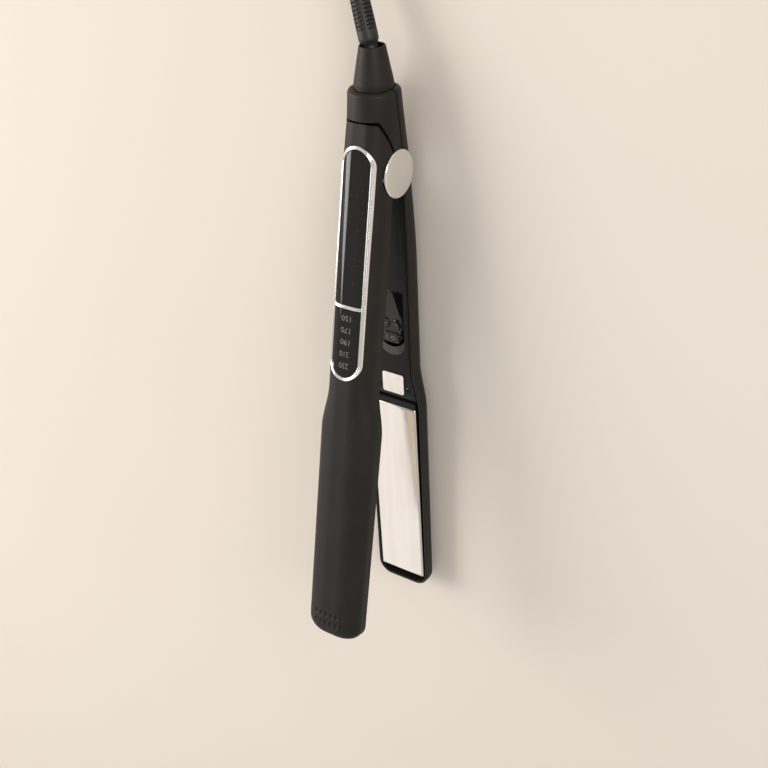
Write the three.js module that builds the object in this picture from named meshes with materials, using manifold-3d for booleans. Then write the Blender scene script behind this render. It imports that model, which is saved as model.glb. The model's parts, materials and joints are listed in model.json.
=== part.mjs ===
// A hair straightener lying on its lower arm, with its upper arm sprung open.
// Millimetres. +X runs from the arm tips to the cord, +Y is the hinge axis, +Z is up.
import * as THREE from "three";
import { mergeVertices } from "three/addons/utils/BufferGeometryUtils.js";
import Module from "manifold-3d";

const wasm = await Module();
wasm.setup();

// ---------------------------------------------------------------- driving dimensions
// Arms, measured from the hinge axis along the arm
const plateStart = 131;
const plateLength = 110;
const plateWidth = 28;
const plateThickness = 1.6;
const tipLength = 6.4;
const handleWidth = 26;
const hingeWidth = 24.6;
const plateBorder = 2.6;         // shell beyond each side of a plate
const tipNarrowing = 0.9;
const shoulderStart = 108;
const shoulderLength = 24;
const shellWall = 1.4;
const crownDepth = 17.8;        // hinge axis down to the outer crown
const plateSlope = 0.0215;      // the plates run from the hinge axis towards the crown at this slope
const crownFlat = 6;            // width of the flat strip along the crown
const sideHeight = 4;           // straight side below the rim
const rimDepth = 4;             // hinge axis down to the rim of the handle
const rimFall = 1.9;            // how much lower the rim is at the tip
const tipPlanRadius = 8;
const tipCrownRadius = 5;
const openAngle = 13.66;        // degrees between the plates when the spring holds the arms open
// Collar, cone and cord
const collarRadius = 12.4;
const collarEnd = 40;
const collarEdge = 2;
const coneBaseRadius = 9.4;
const coneMouthRadius = 6.2;
const coneEnd = 59.3;
const coneWall = 0.8;
const cordDiameter = 7;
const bootLength = 56;
const bootBaseDiameter = 9.6;
const bootEndDiameter = 8;
// Hinge
const capDiameter = 23.5;
const capThickness = 1.2;
const capProud = 0.5;
const pinDiameter = 4;
const lugRadius = 5.5;
const lugThickness = 1.5;
// Display on the upper arm and controls on the lower one
const bezelStart = -13.2;       // hinge axis to the cord end of the bezel
const bezelLength = 115.4;
const bezelWidth = 19;
const bezelBand = 1.9;
const bezelProud = 0.9;
const crossbarAt = 64.6;
const panelStart = 65.5;
const panelLength = 31;
const panelWidth = 17;
const buttonTravel = 0.8;
const clearance = 0.35;         // between pieces that are fitted to each other

// ---------------------------------------------------------------- sizes that follow
const plateTilt = Math.atan(plateSlope);
const openTilt = THREE.MathUtils.degToRad(openAngle) - 2 * plateTilt;
const plateEnd = plateStart + plateLength;
const plateSectionWidth = plateWidth + 2 * plateBorder;
const tipEnd = plateEnd + tipLength;
const bodyCentre = (coneEnd - tipEnd) / 2;
const shoulderEnd = shoulderStart + shoulderLength;

// ---------------------------------------------------------------- solids
function solid(geometry) {
  const bare = geometry.index ? geometry.toNonIndexed() : geometry.clone();
  bare.deleteAttribute("normal");
  bare.deleteAttribute("uv");
  const merged = mergeVertices(bare, 1e-4);
  return new wasm.Manifold(new wasm.Mesh({
    numProp: 3,
    vertProperties: Float32Array.from(merged.attributes.position.array),
    triVerts: Uint32Array.from(merged.index.array),
  }));
}

function geometryOf(body) {
  const mesh = body.getMesh();
  const geometry = new THREE.BufferGeometry();
  geometry.setAttribute("position", new THREE.BufferAttribute(Float32Array.from(mesh.vertProperties), 3));
  geometry.setIndex(new THREE.BufferAttribute(Uint32Array.from(mesh.triVerts), 1));
  geometry.computeVertexNormals();
  return geometry;
}

function cut(body, ...tools) {
  return tools.reduce((left, tool) => left.subtract(tool), body);
}

function join(body, ...others) {
  return others.reduce((whole, other) => whole.add(other), body);
}

// A block between two corners
function block(x0, x1, y0, y1, z0, z1) {
  const geometry = new THREE.BoxGeometry(x1 - x0, y1 - y0, z1 - z0);
  geometry.translate((x0 + x1) / 2, (y0 + y1) / 2, (z0 + z1) / 2);
  return solid(geometry);
}

// A round bar along y
function barY(radius, y0, y1, x = 0, z = 0, sides = 24) {
  const geometry = new THREE.CylinderGeometry(radius, radius, y1 - y0, sides);
  geometry.translate(x, (y0 + y1) / 2, z);
  return solid(geometry);
}

// A round bar along z
function barZ(radius, x, y, z0, z1, sides = 20) {
  const geometry = new THREE.CylinderGeometry(radius, radius, z1 - z0, sides);
  geometry.rotateX(Math.PI / 2);
  geometry.translate(x, y, (z0 + z1) / 2);
  return solid(geometry);
}

// A profile of [x, radius] points turned about the x axis
function turned(profile, sides = 32) {
  const geometry = new THREE.LatheGeometry(profile.map(([x, radius]) => new THREE.Vector2(radius, x)), sides);
  geometry.rotateZ(-Math.PI / 2);
  return solid(geometry);
}

// An outline in x and y, raised from z0 to z1
function raised(shape, z0, z1, curveSegments = 10) {
  const geometry = new THREE.ExtrudeGeometry(shape, { depth: z1 - z0, bevelEnabled: false, curveSegments });
  geometry.translate(0, 0, z0);
  return solid(geometry);
}

// An outline in x and z, carried from y0 to y1
function across(shape, y0, y1, curveSegments = 10) {
  const geometry = new THREE.ExtrudeGeometry(shape, { depth: y1 - y0, bevelEnabled: false, curveSegments });
  geometry.rotateX(Math.PI / 2);
  geometry.translate(0, y1, 0);
  return solid(geometry);
}

function outline(points) {
  return new THREE.Shape(points.map(([a, b]) => new THREE.Vector2(a, b)));
}

// A stadium along x
function stadium(x0, x1, halfWidth, y = 0) {
  const shape = new THREE.Shape();
  shape.moveTo(x0 + halfWidth, y - halfWidth);
  shape.lineTo(x1 - halfWidth, y - halfWidth);
  shape.absarc(x1 - halfWidth, y, halfWidth, -Math.PI / 2, Math.PI / 2, false);
  shape.lineTo(x0 + halfWidth, y + halfWidth);
  shape.absarc(x0 + halfWidth, y, halfWidth, Math.PI / 2, 1.5 * Math.PI, false);
  return shape;
}

// A tube of one radius along a curve, closed at both ends
function tube(curve, radius, steps, sides = 8) {
  const ring = Array.from({ length: sides }, (_, i) => {
    const angle = 2 * Math.PI * i / sides;
    return new THREE.Vector2(radius * Math.cos(angle), radius * Math.sin(angle));
  });
  return new THREE.ExtrudeGeometry(new THREE.Shape(ring), { steps, extrudePath: curve, bevelEnabled: false });
}

// Equal rings of points, one per station, skinned and closed with a fan at each end
function loft(rings) {
  const count = rings[0].length;
  const centre = (ring) => ring.reduce((sum, p) => sum.add(p), new THREE.Vector3()).divideScalar(count);
  const points = [...rings.flat(), centre(rings[0]), centre(rings[rings.length - 1])];
  const faces = [];
  for (let station = 0; station + 1 < rings.length; station += 1) {
    for (let i = 0; i < count; i += 1) {
      const a = station * count + i;
      const b = station * count + (i + 1) % count;
      faces.push(a, a + count, b, b, a + count, b + count);
    }
  }
  const last = (rings.length - 1) * count;
  const firstCentre = rings.length * count;
  for (let i = 0; i < count; i += 1) {
    faces.push(firstCentre, i, (i + 1) % count);
    faces.push(firstCentre + 1, last + (i + 1) % count, last + i);
  }
  const geometry = new THREE.BufferGeometry().setFromPoints(points);
  geometry.setIndex(faces);
  return solid(geometry);
}

// ---------------------------------------------------------------- the arm's outer form
function smooth(t) {
  const s = Math.min(1, Math.max(0, t));
  return s * s * (3 - 2 * s);
}

// Half the arm's width at x, before the tip is rounded
function halfWidth(x) {
  const handle = hingeWidth / 2 + (handleWidth - hingeWidth) / 2 * smooth((-x - 8) / 40);
  const shoulder = (plateSectionWidth - handleWidth) / 2 * smooth((-x - shoulderStart) / shoulderLength);
  const narrowing = tipNarrowing / 2 * Math.max(0, -x - shoulderEnd) / (tipEnd - shoulderEnd);
  return handle + shoulder - narrowing;
}

// How far the collared arm has turned from the handle's form into the round collar
function collaring(x) {
  return Math.max(0, (x + 45) / (collarEnd + 45)) ** 1.7;
}

// Depth of the rim below the hinge axis; it climbs to the axis along the collar
function rim(x) {
  const fall = rimFall * Math.max(0, -x - shoulderStart) / (tipEnd - shoulderStart);
  const climb = 0.94 * Math.max(0, x - 8) / (collarEnd - 8);
  return rimDepth * (1 - climb) + fall;
}

// One D-shaped ring of the arm: straight sides, elliptical corners and a flat crown strip
function armRing({ x, width, depth, top, roundness }) {
  const cornerSteps = 7;
  const flat = (1 - roundness) * Math.min(crownFlat / 2, width / 3);
  const side = (rim(x) + sideHeight) * (1 - roundness);
  const half = [new THREE.Vector3(x, width, -top)];
  for (let i = 0; i <= cornerSteps; i += 1) {
    const angle = (i / cornerSteps) * Math.PI / 2;
    const y = flat + (width - flat) * Math.cos(angle);
    half.push(new THREE.Vector3(x, y, -side - (depth - side) * Math.sin(angle)));
  }
  const other = half.map((p) => new THREE.Vector3(p.x, -p.y, p.z)).reverse();
  return [...half, ...other];
}

// Depth of the collared arm's inner wall below the hinge axis, over the hinge, at y from its middle
function wallDepth(x, y) {
  const turn = collaring(x);
  const width = halfWidth(x) - shellWall;
  const depth = crownDepth - (crownDepth - collarRadius) * turn - shellWall;
  const roundness = 0.98 * turn;
  const flat = (1 - roundness) * Math.min(crownFlat / 2, width / 3);
  const side = (rim(x) + sideHeight) * (1 - roundness);
  const angle = Math.acos((y - flat) / (width - flat));
  return side + (depth - side) * Math.sin(angle);
}

// The form of an arm drawn in by `inset`, from its rounded tip to `end` at the cord end.
// A collared arm draws in to the round collar; `top` gives its open face's depth at x.
function armForm({ inset = 0, end, collared = false, edge = 0, top = rim }) {
  const rings = [];
  const add = (x, narrower, shallower) => {
    const turn = collared ? collaring(x) : 0;
    const width = halfWidth(x) - inset - narrower;
    const depth = crownDepth - (crownDepth - collarRadius) * turn - inset - shallower;
    rings.push(armRing({ x, width, depth, top: top(x), roundness: 0.98 * turn }));
  };
  const tipSteps = 5;
  const planRadius = tipPlanRadius - inset;
  const crownRadius = tipCrownRadius - Math.max(0, inset);
  const tipX = inset - tipEnd;
  for (let i = 0; i <= tipSteps; i += 1) {
    const angle = (i / tipSteps) * Math.PI / 2;
    const draw = 1 - Math.sin(angle);
    add(tipX + planRadius * (1 - Math.cos(angle)), planRadius * draw, crownRadius * draw);
  }
  const shoulderMiddle = -(shoulderStart + shoulderLength / 2);
  const quarter = shoulderLength / 4;
  const stations = [-plateEnd + 30, -shoulderEnd - 30, -shoulderEnd, shoulderMiddle - quarter, shoulderMiddle,
    shoulderMiddle + quarter, -shoulderStart, -85, -60, -45, -30, -15, -5, 5, 14, 22, 30];
  stations.filter((x) => x < end - 3).forEach((x) => add(x, 0, 0));
  if (edge > 0) {
    add(end - edge, 0, 0);
    add(end - edge * 0.3, edge * 0.35, edge * 0.35);
    add(end, edge, edge);
  } else {
    add(end, 0, 0);
  }
  return loft(rings);
}

// ---------------------------------------------------------------- pieces
const root = new THREE.Group();
root.name = "hair_straightener";
const body = new THREE.Group();             // origin on the hinge axis
body.position.set(-bodyCentre, 0, crownDepth);
root.add(body);
const upperTurn = new THREE.Group();
upperTurn.name = "upper_turn";
upperTurn.rotation.y = openTilt;
const upperArm = new THREE.Group();         // the upper arm in the lower arm's terms, turned over
upperArm.rotation.x = Math.PI;
upperTurn.add(upperArm);
body.add(upperTurn);

function platesGroup(arm) {
  const group = new THREE.Group();
  group.rotation.y = -plateTilt;
  arm.add(group);
  return group;
}
const lowerPlates = platesGroup(body);
const upperPlates = platesGroup(upperArm);

const finishes = {
  shell: [0x2b2827, 0.55, 0],
  inner: [0x1e1d1d, 0.6, 0],
  gloss: [0x0b0b0c, 0.12, 0],
  chrome: [0xe8e6e2, 0.08, 1],
  plate: [0xcfc6bc, 0.22, 1],
  steel: [0x9a9a98, 0.35, 1],
  ceramic: [0xd9d4c8, 0.7, 0],
  rubber: [0x1a1a1b, 0.75, 0],
  board: [0x1f5a3a, 0.5, 0],
  label: [0xe9e4dc, 0.5, 0],
  brass: [0xb9974e, 0.3, 1],
  wire: [0xb03a2e, 0.5, 0],
};

function place(parent, name, shape, finish) {
  const [colour, roughness, metalness] = finishes[finish];
  const geometry = shape instanceof THREE.BufferGeometry ? shape : geometryOf(shape);
  const material = new THREE.MeshStandardMaterial({ color: colour, roughness, metalness });
  const mesh = new THREE.Mesh(geometry, material);
  mesh.name = name;
  parent.add(mesh);
  return mesh;
}

// ---- shells
const capSeatRadius = capDiameter / 2 + clearance;
const capSeatFace = hingeWidth / 2 + capProud - capThickness - clearance;
const coverStart = 27.3;        // hinge axis to the joint line between upper shell and collar
const coverGap = 1.3;
const cheekTop = 2.6;
const slantTop = 9.8;
const seamGap = 0.6;
const collarWallStart = 36;

// Side view of what the hinge cover holds, grown by `grow` where the upper shell moves past it
function coverOutline(grow) {
  return outline([
    [coverStart - grow, 40],
    [coverStart - grow, slantTop + 0.4 * grow],
    [13.5 - 0.4 * grow, cheekTop + 1 + grow],
    [-10.5 - grow, cheekTop + grow],
    [-10.5 - grow, -40],
    [60, -40],
    [60, 40],
  ]);
}

function capSeats() {
  const left = barY(capSeatRadius, capSeatFace, 20, 0, 0, 36);
  const right = barY(capSeatRadius, -20, -capSeatFace, 0, 0, 36);
  return join(left, right);
}

function coneBore() {
  return turned([[collarWallStart - 4, 0], [collarWallStart - 4, coneBaseRadius + clearance],
    [collarEnd + 5, coneBaseRadius + clearance], [collarEnd + 5, 0]], 36);
}

const above = () => -8;
const screwAt = [[-121, 9], [-121, -9]];
const postRadius = 2.4;
const screwBore = 1.15;
const headRecess = 2.1;
const headRadius = 1.75;
const shankRadius = 0.8;

function screwPosts(top) {
  const posts = screwAt.map(([x, y]) => barZ(postRadius, x, y, -30, -top));
  return join(...posts);
}

function screwHoles() {
  return join(...screwAt.map(([x, y]) => barZ(screwBore, x, y, -crownDepth + 3, 0, 12)));
}

// Where the float springs under each plate stand
const springAt = [-(plateStart + 22), -(plateEnd - 22)];
const springRadius = 2.6;
const shellFloor = crownDepth - shellWall;

function shellOf({ end, collared, edge }) {
  const form = armForm({ end, collared, edge });
  const cavityEnd = collared ? collarWallStart : end + 5;
  const cavity = armForm({ inset: shellWall, end: cavityEnd, collared, top: above });
  const posts = screwPosts(coverFloor + coverThickness + clearance).intersect(form);
  return cut(join(cut(form, cavity), posts), screwHoles(), capSeats());
}

// Inner cover of the handle: a shallow tray inside the rim
const coverEdge = rimDepth + 0.3;
const coverFloor = rimDepth + 0.9;
const coverThickness = 1.6;
const coverFrom = -14;
const coverTo = -(plateStart - 5);
const coverBorder = 2.8;
const coverFit = 0.45;          // gap between the cover's edge and the shell's inner wall

function innerCover() {
  const fit = armForm({ inset: shellWall + coverFit, end: coverStart, top: above });
  const slab = block(coverTo, coverFrom, -40, 40, -coverFloor - coverThickness, -coverEdge);
  const sunk = armForm({ inset: shellWall + coverFit + coverBorder, end: coverStart, top: above });
  const recess = sunk.intersect(block(coverTo + 1, coverFrom - 1, -40, 40, -coverFloor, 0));
  const screws = screwAt.map(([x, y]) => barZ(headRecess, x, y, -coverFloor - 0.6, 0, 20));
  return cut(fit.intersect(slab), recess, ...screws, screwHoles());
}

function coverScrew([x, y]) {
  const head = barZ(headRadius, x, y, -coverFloor - 0.3, -coverFloor + 0.25, 14);
  const shank = barZ(shankRadius, x, y, -crownDepth + 5, -coverFloor - 0.2, 8);
  const slot = block(x - 1.1, x + 1.1, y - 0.3, y + 0.3, -coverFloor - 0.05, 0);
  return cut(join(head, shank), slot);
}

// ---- bezel, label panel and display on the upper arm
const bezelX0 = -(bezelStart + bezelLength);
const bezelX1 = -bezelStart;
const bezelHalf = bezelWidth / 2;

function onCrown(inset, thickness, outlineSolid) {
  const outer = armForm({ inset, end: bezelX1 + 12 });
  const inner = armForm({ inset: inset + thickness, end: bezelX1 + 14, top: above });
  const skin = cut(outer, inner);
  return skin.intersect(outlineSolid);
}

function bay(x0, x1, inset) {
  const drawn = bezelBand + inset;
  const whole = raised(stadium(bezelX0 + drawn, bezelX1 - drawn, bezelHalf - drawn), -30, -8);
  return whole.intersect(block(x0 + inset, x1 - inset, -40, 40, -40, 0));
}

const crossbarX = [-crossbarAt - bezelBand / 2, -crossbarAt + bezelBand / 2];

function bezel() {
  const ring = cut(raised(stadium(bezelX0, bezelX1, bezelHalf), -30, -8),
    bay(bezelX0, crossbarX[0], 0), bay(crossbarX[1], bezelX1, 0));
  return onCrown(-bezelProud, bezelProud + shellWall, ring);
}

function bezelOpening() {
  return raised(stadium(bezelX0 - clearance, bezelX1 + clearance, bezelHalf + clearance), -30, -8);
}

// ---- plates
const plateRise = 0.15;          // half the gap between the plates when the arms are closed
const plateUnder = -plateRise - plateThickness;

function heatingPlate() {
  const side = plateWidth / 2;
  const top = -plateRise;
  const edgeDrop = 0.7;
  const edge = [[side, top - edgeDrop], [side - 0.5, top - 0.25], [side - 1.6, top]];
  const otherEdge = edge.map(([y, z]) => [-y, z]).reverse();
  const bottom = top - plateThickness;
  const profile = outline([[-side, bottom], [side, bottom], ...edge, ...otherEdge]);
  const geometry = new THREE.ExtrudeGeometry(profile, { depth: plateLength, bevelEnabled: false });
  geometry.rotateX(Math.PI / 2);
  geometry.rotateZ(Math.PI / 2);
  geometry.translate(-plateEnd, 0, 0);
  return solid(geometry);
}

const heaterWidth = 11;
const heaterHeight = 2.8;
const clipThickness = 0.6;
const carrierHeight = 5;
const carrierSkirt = 2.6;        // height of its narrower lower part, which clears the shell's corners
const skirtInset = 1.6;

function plateCarrier() {
  const side = plateWidth / 2 - 0.4;
  const top = plateUnder - clearance;
  const bottom = top - carrierHeight;
  const skirtSide = side - skirtInset;
  const middle = bottom + carrierSkirt;
  const from = -plateEnd + 3;
  const to = -plateStart + 3.4;
  const upperPart = block(from, to, -side, side, middle, top);
  const skirt = block(from + skirtInset, to, -skirtSide, skirtSide, bottom, middle + 0.1);
  const frame = join(upperPart, skirt);
  const windowSide = heaterWidth / 2 + 1.5;
  const window = block(from + 5, -plateStart - 5, -windowSide, windowSide, bottom - 1, top + 1);
  const endBar = block(-plateStart + clearance, to, -side, side, top - 0.1, top + plateThickness - 0.3);
  const feet = springAt.map((x) => block(x - 3.5, x + 3.5, -skirtSide, skirtSide, bottom, bottom + 1));
  return join(cut(frame, window), endBar, ...feet);
}

function heater() {
  const top = plateUnder - clearance;
  return block(-plateEnd + 14, -plateStart - 12, -heaterWidth / 2, heaterWidth / 2, top - heaterHeight, top);
}

function heaterClip() {
  const top = plateUnder - 2 * clearance - heaterHeight;
  const side = heaterWidth / 2 + 0.6;
  const fromPlateEnd = 18;
  const fromPlateStart = 16;
  const to = -plateStart - fromPlateStart;
  const base = block(-plateEnd + fromPlateEnd, to, -side, side, top - clipThickness, top);
  const slots = [0.25, 0.5, 0.75].map((share) => {
    const x = to - share * (plateLength - fromPlateEnd - fromPlateStart);
    return block(x - 3, x + 3, -heaterWidth / 4, heaterWidth / 4, top - 2, top + 1);
  });
  return cut(base, ...slots);
}

// ---- springs
class Coil extends THREE.Curve {
  constructor({ radius, turns, length }) {
    super();
    Object.assign(this, { radius, turns, length });
  }

  getPoint(t, target = new THREE.Vector3()) {
    const angle = 2 * Math.PI * this.turns * t;
    return target.set(this.radius * Math.cos(angle), this.radius * Math.sin(angle), this.length * t);
  }
}

function coilSpring({ radius, wire, turns, length }) {
  return tube(new Coil({ radius, turns, length }), wire / 2, Math.round(turns * 9), 5);
}

function floatSpring(x) {
  const carrierBottom = -(plateUnder - clearance - carrierHeight) - plateSlope * x;
  const foot = -shellFloor + 0.6;
  const length = -carrierBottom - 0.6 - foot;
  const geometry = coilSpring({ radius: springRadius, wire: 0.5, turns: 3.5, length });
  geometry.translate(x, 0, foot);
  return geometry;
}

// ---- hinge inside
const lowerLugY = 5.5;
const upperLugY = 3.4;
const bracketHalf = 11;
const bracketBase = 1.2;         // thickness of its foot
const lowerBracketDepth = wallDepth(bracketHalf, lowerLugY + lugThickness) - bracketBase - 0.1;
const upperBracketDepth = crownDepth - shellWall - bracketBase - 1.8;
const pinBore = pinDiameter / 2 + 0.3;
const bushingRadius = 3.1;
const bushingSeat = bushingRadius + 0.3;

function hingeBracket(lugY, baseDepth, bore) {
  const lugFoot = bracketHalf - 2;
  const lug = new THREE.Shape();
  lug.moveTo(-lugFoot, -baseDepth);
  lug.lineTo(lugFoot, -baseDepth);
  lug.lineTo(lugRadius, -lugRadius);
  lug.absarc(0, 0, lugRadius, 0, Math.PI, false);
  lug.lineTo(-lugRadius, -lugRadius);
  const reach = lugY + lugThickness;
  const plate = block(-bracketHalf, bracketHalf, -reach, reach, -baseDepth - bracketBase, -baseDepth + 0.1);
  const lugs = join(across(lug, lugY, lugY + lugThickness), across(lug, -lugY - lugThickness, -lugY));
  return cut(join(plate, lugs), barY(bore, -30, 30));
}

function bushing(side) {
  const y0 = side > 0 ? upperLugY - 0.5 : -upperLugY - lugThickness - 0.25;
  return cut(barY(bushingRadius, y0, y0 + lugThickness + 0.75), barY(pinBore, -30, 30));
}

function hingeCap(side) {
  const r = capDiameter / 2;
  const face = hingeWidth / 2 + capProud;
  const back = face - capThickness;
  const spigot = 0.9;
  const spigotRadius = 2.6;
  const profile = [[back - spigot, 0], [back - spigot, spigotRadius], [back, spigotRadius], [back, r],
    [face - 0.5, r], [face, r - 0.6], [face, 0]];
  const geometry = new THREE.LatheGeometry(profile.map(([y, radius]) => new THREE.Vector2(radius, y)), 36);
  if (side < 0) geometry.rotateZ(Math.PI);
  return geometry;
}

function lowerShell() {
  const shell = shellOf({ end: collarEnd, collared: true, edge: collarEdge });
  return cut(shell, coneBore());
}

function hingeCover() {
  const top = (x) => seamGap - rim(x);
  const form = armForm({ end: collarEnd, collared: true, edge: collarEdge, top });
  const cavity = armForm({ inset: shellWall, end: collarWallStart, collared: true, top: () => -30 });
  const flipped = (part) => solid(geometryOf(part).rotateX(Math.PI));
  const shell = flipped(cut(form, cavity)).intersect(across(coverOutline(0), -40, 40));
  const bosses = barY(3.2, -30, 30);
  return cut(shell, coneBore(), capSeats(), bosses);
}

function upperShell() {
  const keepOut = new THREE.ExtrudeGeometry(coverOutline(coverGap), { depth: 80, bevelEnabled: false });
  keepOut.rotateX(Math.PI / 2);
  keepOut.translate(0, 40, 0);
  const toUpper = new THREE.Matrix4().makeRotationX(-Math.PI);
  toUpper.multiply(new THREE.Matrix4().makeRotationY(-openTilt));
  keepOut.applyMatrix4(toUpper);
  return cut(shellOf({ end: coverStart + 6, collared: false, edge: 0 }), solid(keepOut), bezelOpening());
}

place(body, "lower_shell", lowerShell(), "shell");
place(body, "hinge_cover", hingeCover(), "shell");
place(upperArm, "upper_shell", upperShell(), "shell");
place(upperArm, "bezel", bezel(), "chrome");
place(upperArm, "label_panel", onCrown(0.2, 1.2, bay(crossbarX[1], bezelX1, clearance)), "gloss");
place(upperArm, "display_lens", onCrown(0.2, 1.2, bay(bezelX0, crossbarX[0], clearance)), "gloss");
place(upperArm, "upper_inner_cover", innerCover(), "inner");
screwAt.forEach((at, i) => {
  place(body, `lower_cover_screw_${i + 1}`, coverScrew(at), "steel");
  place(upperArm, `upper_cover_screw_${i + 1}`, coverScrew(at), "steel");
});
for (const [arm, group] of [["lower", lowerPlates], ["upper", upperPlates]]) {
  place(group, `${arm}_plate`, heatingPlate(), "plate");
  place(group, `${arm}_plate_carrier`, plateCarrier(), "inner");
  place(group, `${arm}_heater`, heater(), "ceramic");
  place(group, `${arm}_heater_clip`, heaterClip(), "steel");
}
springAt.forEach((x, i) => {
  place(body, `lower_float_spring_${i + 1}`, floatSpring(x), "steel");
  place(upperArm, `upper_float_spring_${i + 1}`, floatSpring(x), "steel");
});
place(body, "lower_hinge_bracket", hingeBracket(lowerLugY, lowerBracketDepth, pinBore), "steel");
place(upperArm, "upper_hinge_bracket", hingeBracket(upperLugY, upperBracketDepth, bushingSeat), "steel");
place(body, "hinge_pin", barY(pinDiameter / 2, -10.3, 10.3), "steel");
place(body, "hinge_cap_left", hingeCap(1), "chrome");
place(body, "hinge_cap_right", hingeCap(-1), "chrome");
place(upperArm, "hinge_bushing_left", bushing(1), "brass");
place(upperArm, "hinge_bushing_right", bushing(-1), "brass");

// ---- controls on the lower arm
const panelX = [-panelStart - panelLength, -panelStart];
const panelTop = -coverFloor + 0.1;
const panelThickness = 1.2;
const buttonProud = 0.5;
const buttons = {
  power_button: { x: -91.8, y: 0, halfLength: 6, halfWidth: 3 },
  minus_button: { x: -84, y: -3.6, halfLength: 2.9, halfWidth: 2.9 },
  plus_button: { x: -84, y: 3.6, halfLength: 2.9, halfWidth: 2.9 },
};

// The panel's outline: square at the cord end, arched at the plate end
function panelOutline(grow) {
  const half = panelWidth / 2 + grow;
  const arch = new THREE.Shape();
  arch.moveTo(panelX[1] + grow, -half);
  arch.lineTo(panelX[1] + grow, half);
  arch.lineTo(panelX[0] + half, half);
  arch.absarc(panelX[0] + half - grow, 0, half, Math.PI / 2, 1.5 * Math.PI, false);
  return arch;
}

// A button's outline, its long side across the arm
function buttonOutline({ x, y, halfLength, halfWidth }, grow) {
  const shape = new THREE.Shape();
  const reach = halfLength - halfWidth;
  shape.absarc(x, y + reach, halfWidth + grow, 0, Math.PI, false);
  shape.absarc(x, y - reach, halfWidth + grow, Math.PI, 2 * Math.PI, false);
  return shape;
}

function controlPanel() {
  const holes = Object.values(buttons).map((button) => raised(buttonOutline(button, 0.3), -30, 0));
  return cut(raised(panelOutline(0), panelTop - panelThickness, panelTop, 16), ...holes);
}

const boardTop = panelTop - panelThickness - 3.2;
const switchHeight = 1.6;

function button(shape) {
  const cap = raised(buttonOutline(shape, 0), panelTop - panelThickness + 0.1, panelTop + buttonProud);
  const stem = barZ(1.2, shape.x, shape.y, boardTop + switchHeight + buttonTravel + 0.25, panelTop - 0.8, 12);
  return join(cap, stem);
}

function controlBoard() {
  const board = block(-102, -42, -8.2, 8.2, boardTop - 1.2, boardTop);
  const switches = Object.values(buttons).map(({ x, y }) => (
    block(x - 2, x + 2, y - 2, y + 2, boardTop - 0.1, boardTop + switchHeight)
  ));
  const chip = block(-62, -55, -3.5, 3.5, boardTop - 0.1, boardTop + 1);
  const capacitor = block(-53, -46, 0, 6, boardTop - 0.1, boardTop + 2.2);
  return join(board, ...switches, chip, capacitor);
}

function lowerInnerCover() {
  return cut(innerCover(), raised(panelOutline(clearance), -30, 0, 16));
}

// A plain pale rating label
const labelX = [-125, -113];
const labelWidth = 13;

function blankLabel() {
  const height = 0.35;
  const bottom = -coverFloor + clearance - 0.05;
  return block(labelX[0] + 0.6, labelX[1], -labelWidth / 2, labelWidth / 2, bottom, bottom + height);
}

place(body, "lower_inner_cover", lowerInnerCover(), "inner");
place(body, "control_panel", controlPanel(), "gloss");
place(body, "control_board", controlBoard(), "board");
place(body, "blank_label", blankLabel(), "label");
for (const [name, shape] of Object.entries(buttons)) {
  place(body, name, button(shape), "gloss");
}

// ---- display inside the upper arm
function displayBoard() {
  const top = -crownDepth + shellWall + 1.2;
  const board = block(-100, -67, -5.5, 5.5, top, top + 1.2);
  const lights = [0, 1, 2, 3, 4].map((i) => {
    const end = -70.4 - 5.8 * i;
    return block(end - 2.6, end, -3.5, 3.5, top - 1, top + 0.1);
  });
  return join(board, ...lights);
}
place(upperArm, "display_board", displayBoard(), "board");

// ---- springs, fuse and leads
function torsionSpring() {
  const radius = 4.4;
  const wire = 1;
  const half = upperLugY - 0.9;
  const points = [];
  points.push(new THREE.Vector3(-13, -half, -radius - 1.2));
  points.push(new THREE.Vector3(-7, -half, -radius - 0.4));
  const turns = 3;
  const perTurn = 14;
  for (let i = 0; i <= turns * perTurn; i += 1) {
    const angle = -Math.PI / 2 + (i / perTurn) * 2 * Math.PI;
    const y = -half + 2 * half * i / (turns * perTurn);
    points.push(new THREE.Vector3(radius * Math.cos(angle), y, radius * Math.sin(angle)));
  }
  points.push(new THREE.Vector3(7, half, -radius - 0.4));
  points.push(new THREE.Vector3(10, half, -radius - 0.8));
  return tube(new THREE.CatmullRomCurve3(points), wire / 2, 56, 6);
}

const leadDepth = crownDepth - 5.2;
const fuseDepth = crownDepth - 4.2;

function lead(side) {
  const points = [[-16, 3.4], [-34, 4.6], [-60, 5.4], [-86, 5], [-108, 4], [-124, 4.4]];
  const way = points.map(([x, y]) => new THREE.Vector3(x, side * y, -leadDepth));
  const curve = new THREE.CatmullRomCurve3(way);
  return tube(curve, 0.8, 24, 6);
}

function thermalFuse() {
  const fuse = new THREE.CylinderGeometry(1.9, 1.9, 10, 16);
  const ends = new THREE.CylinderGeometry(0.5, 0.5, 20, 8);
  const whole = join(solid(fuse), solid(ends));
  const geometry = geometryOf(whole);
  geometry.rotateZ(Math.PI / 2);
  geometry.translate(-112, 0, -fuseDepth);
  return geometry;
}

place(body, "torsion_spring", torsionSpring(), "steel");
place(body, "thermal_fuse", thermalFuse(), "steel");
for (const [name, parent] of [["lower", body], ["upper", upperArm]]) {
  place(parent, `${name}_lead_1`, lead(1), "wire");
  place(parent, `${name}_lead_2`, lead(-1), "wire");
}

// ---- swivel: cone, ball and contact rings
const flangeStart = 31;
const ballCentre = 47.2;
const ballRadius = (coneBaseRadius + coneMouthRadius) / 2 - 1.8;
const stemStart = 26;
const stemRadius = 2.9;
const contactInner = 3.3;
const contactOuter = 5.2;
const contactWidth = 1.4;

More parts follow.
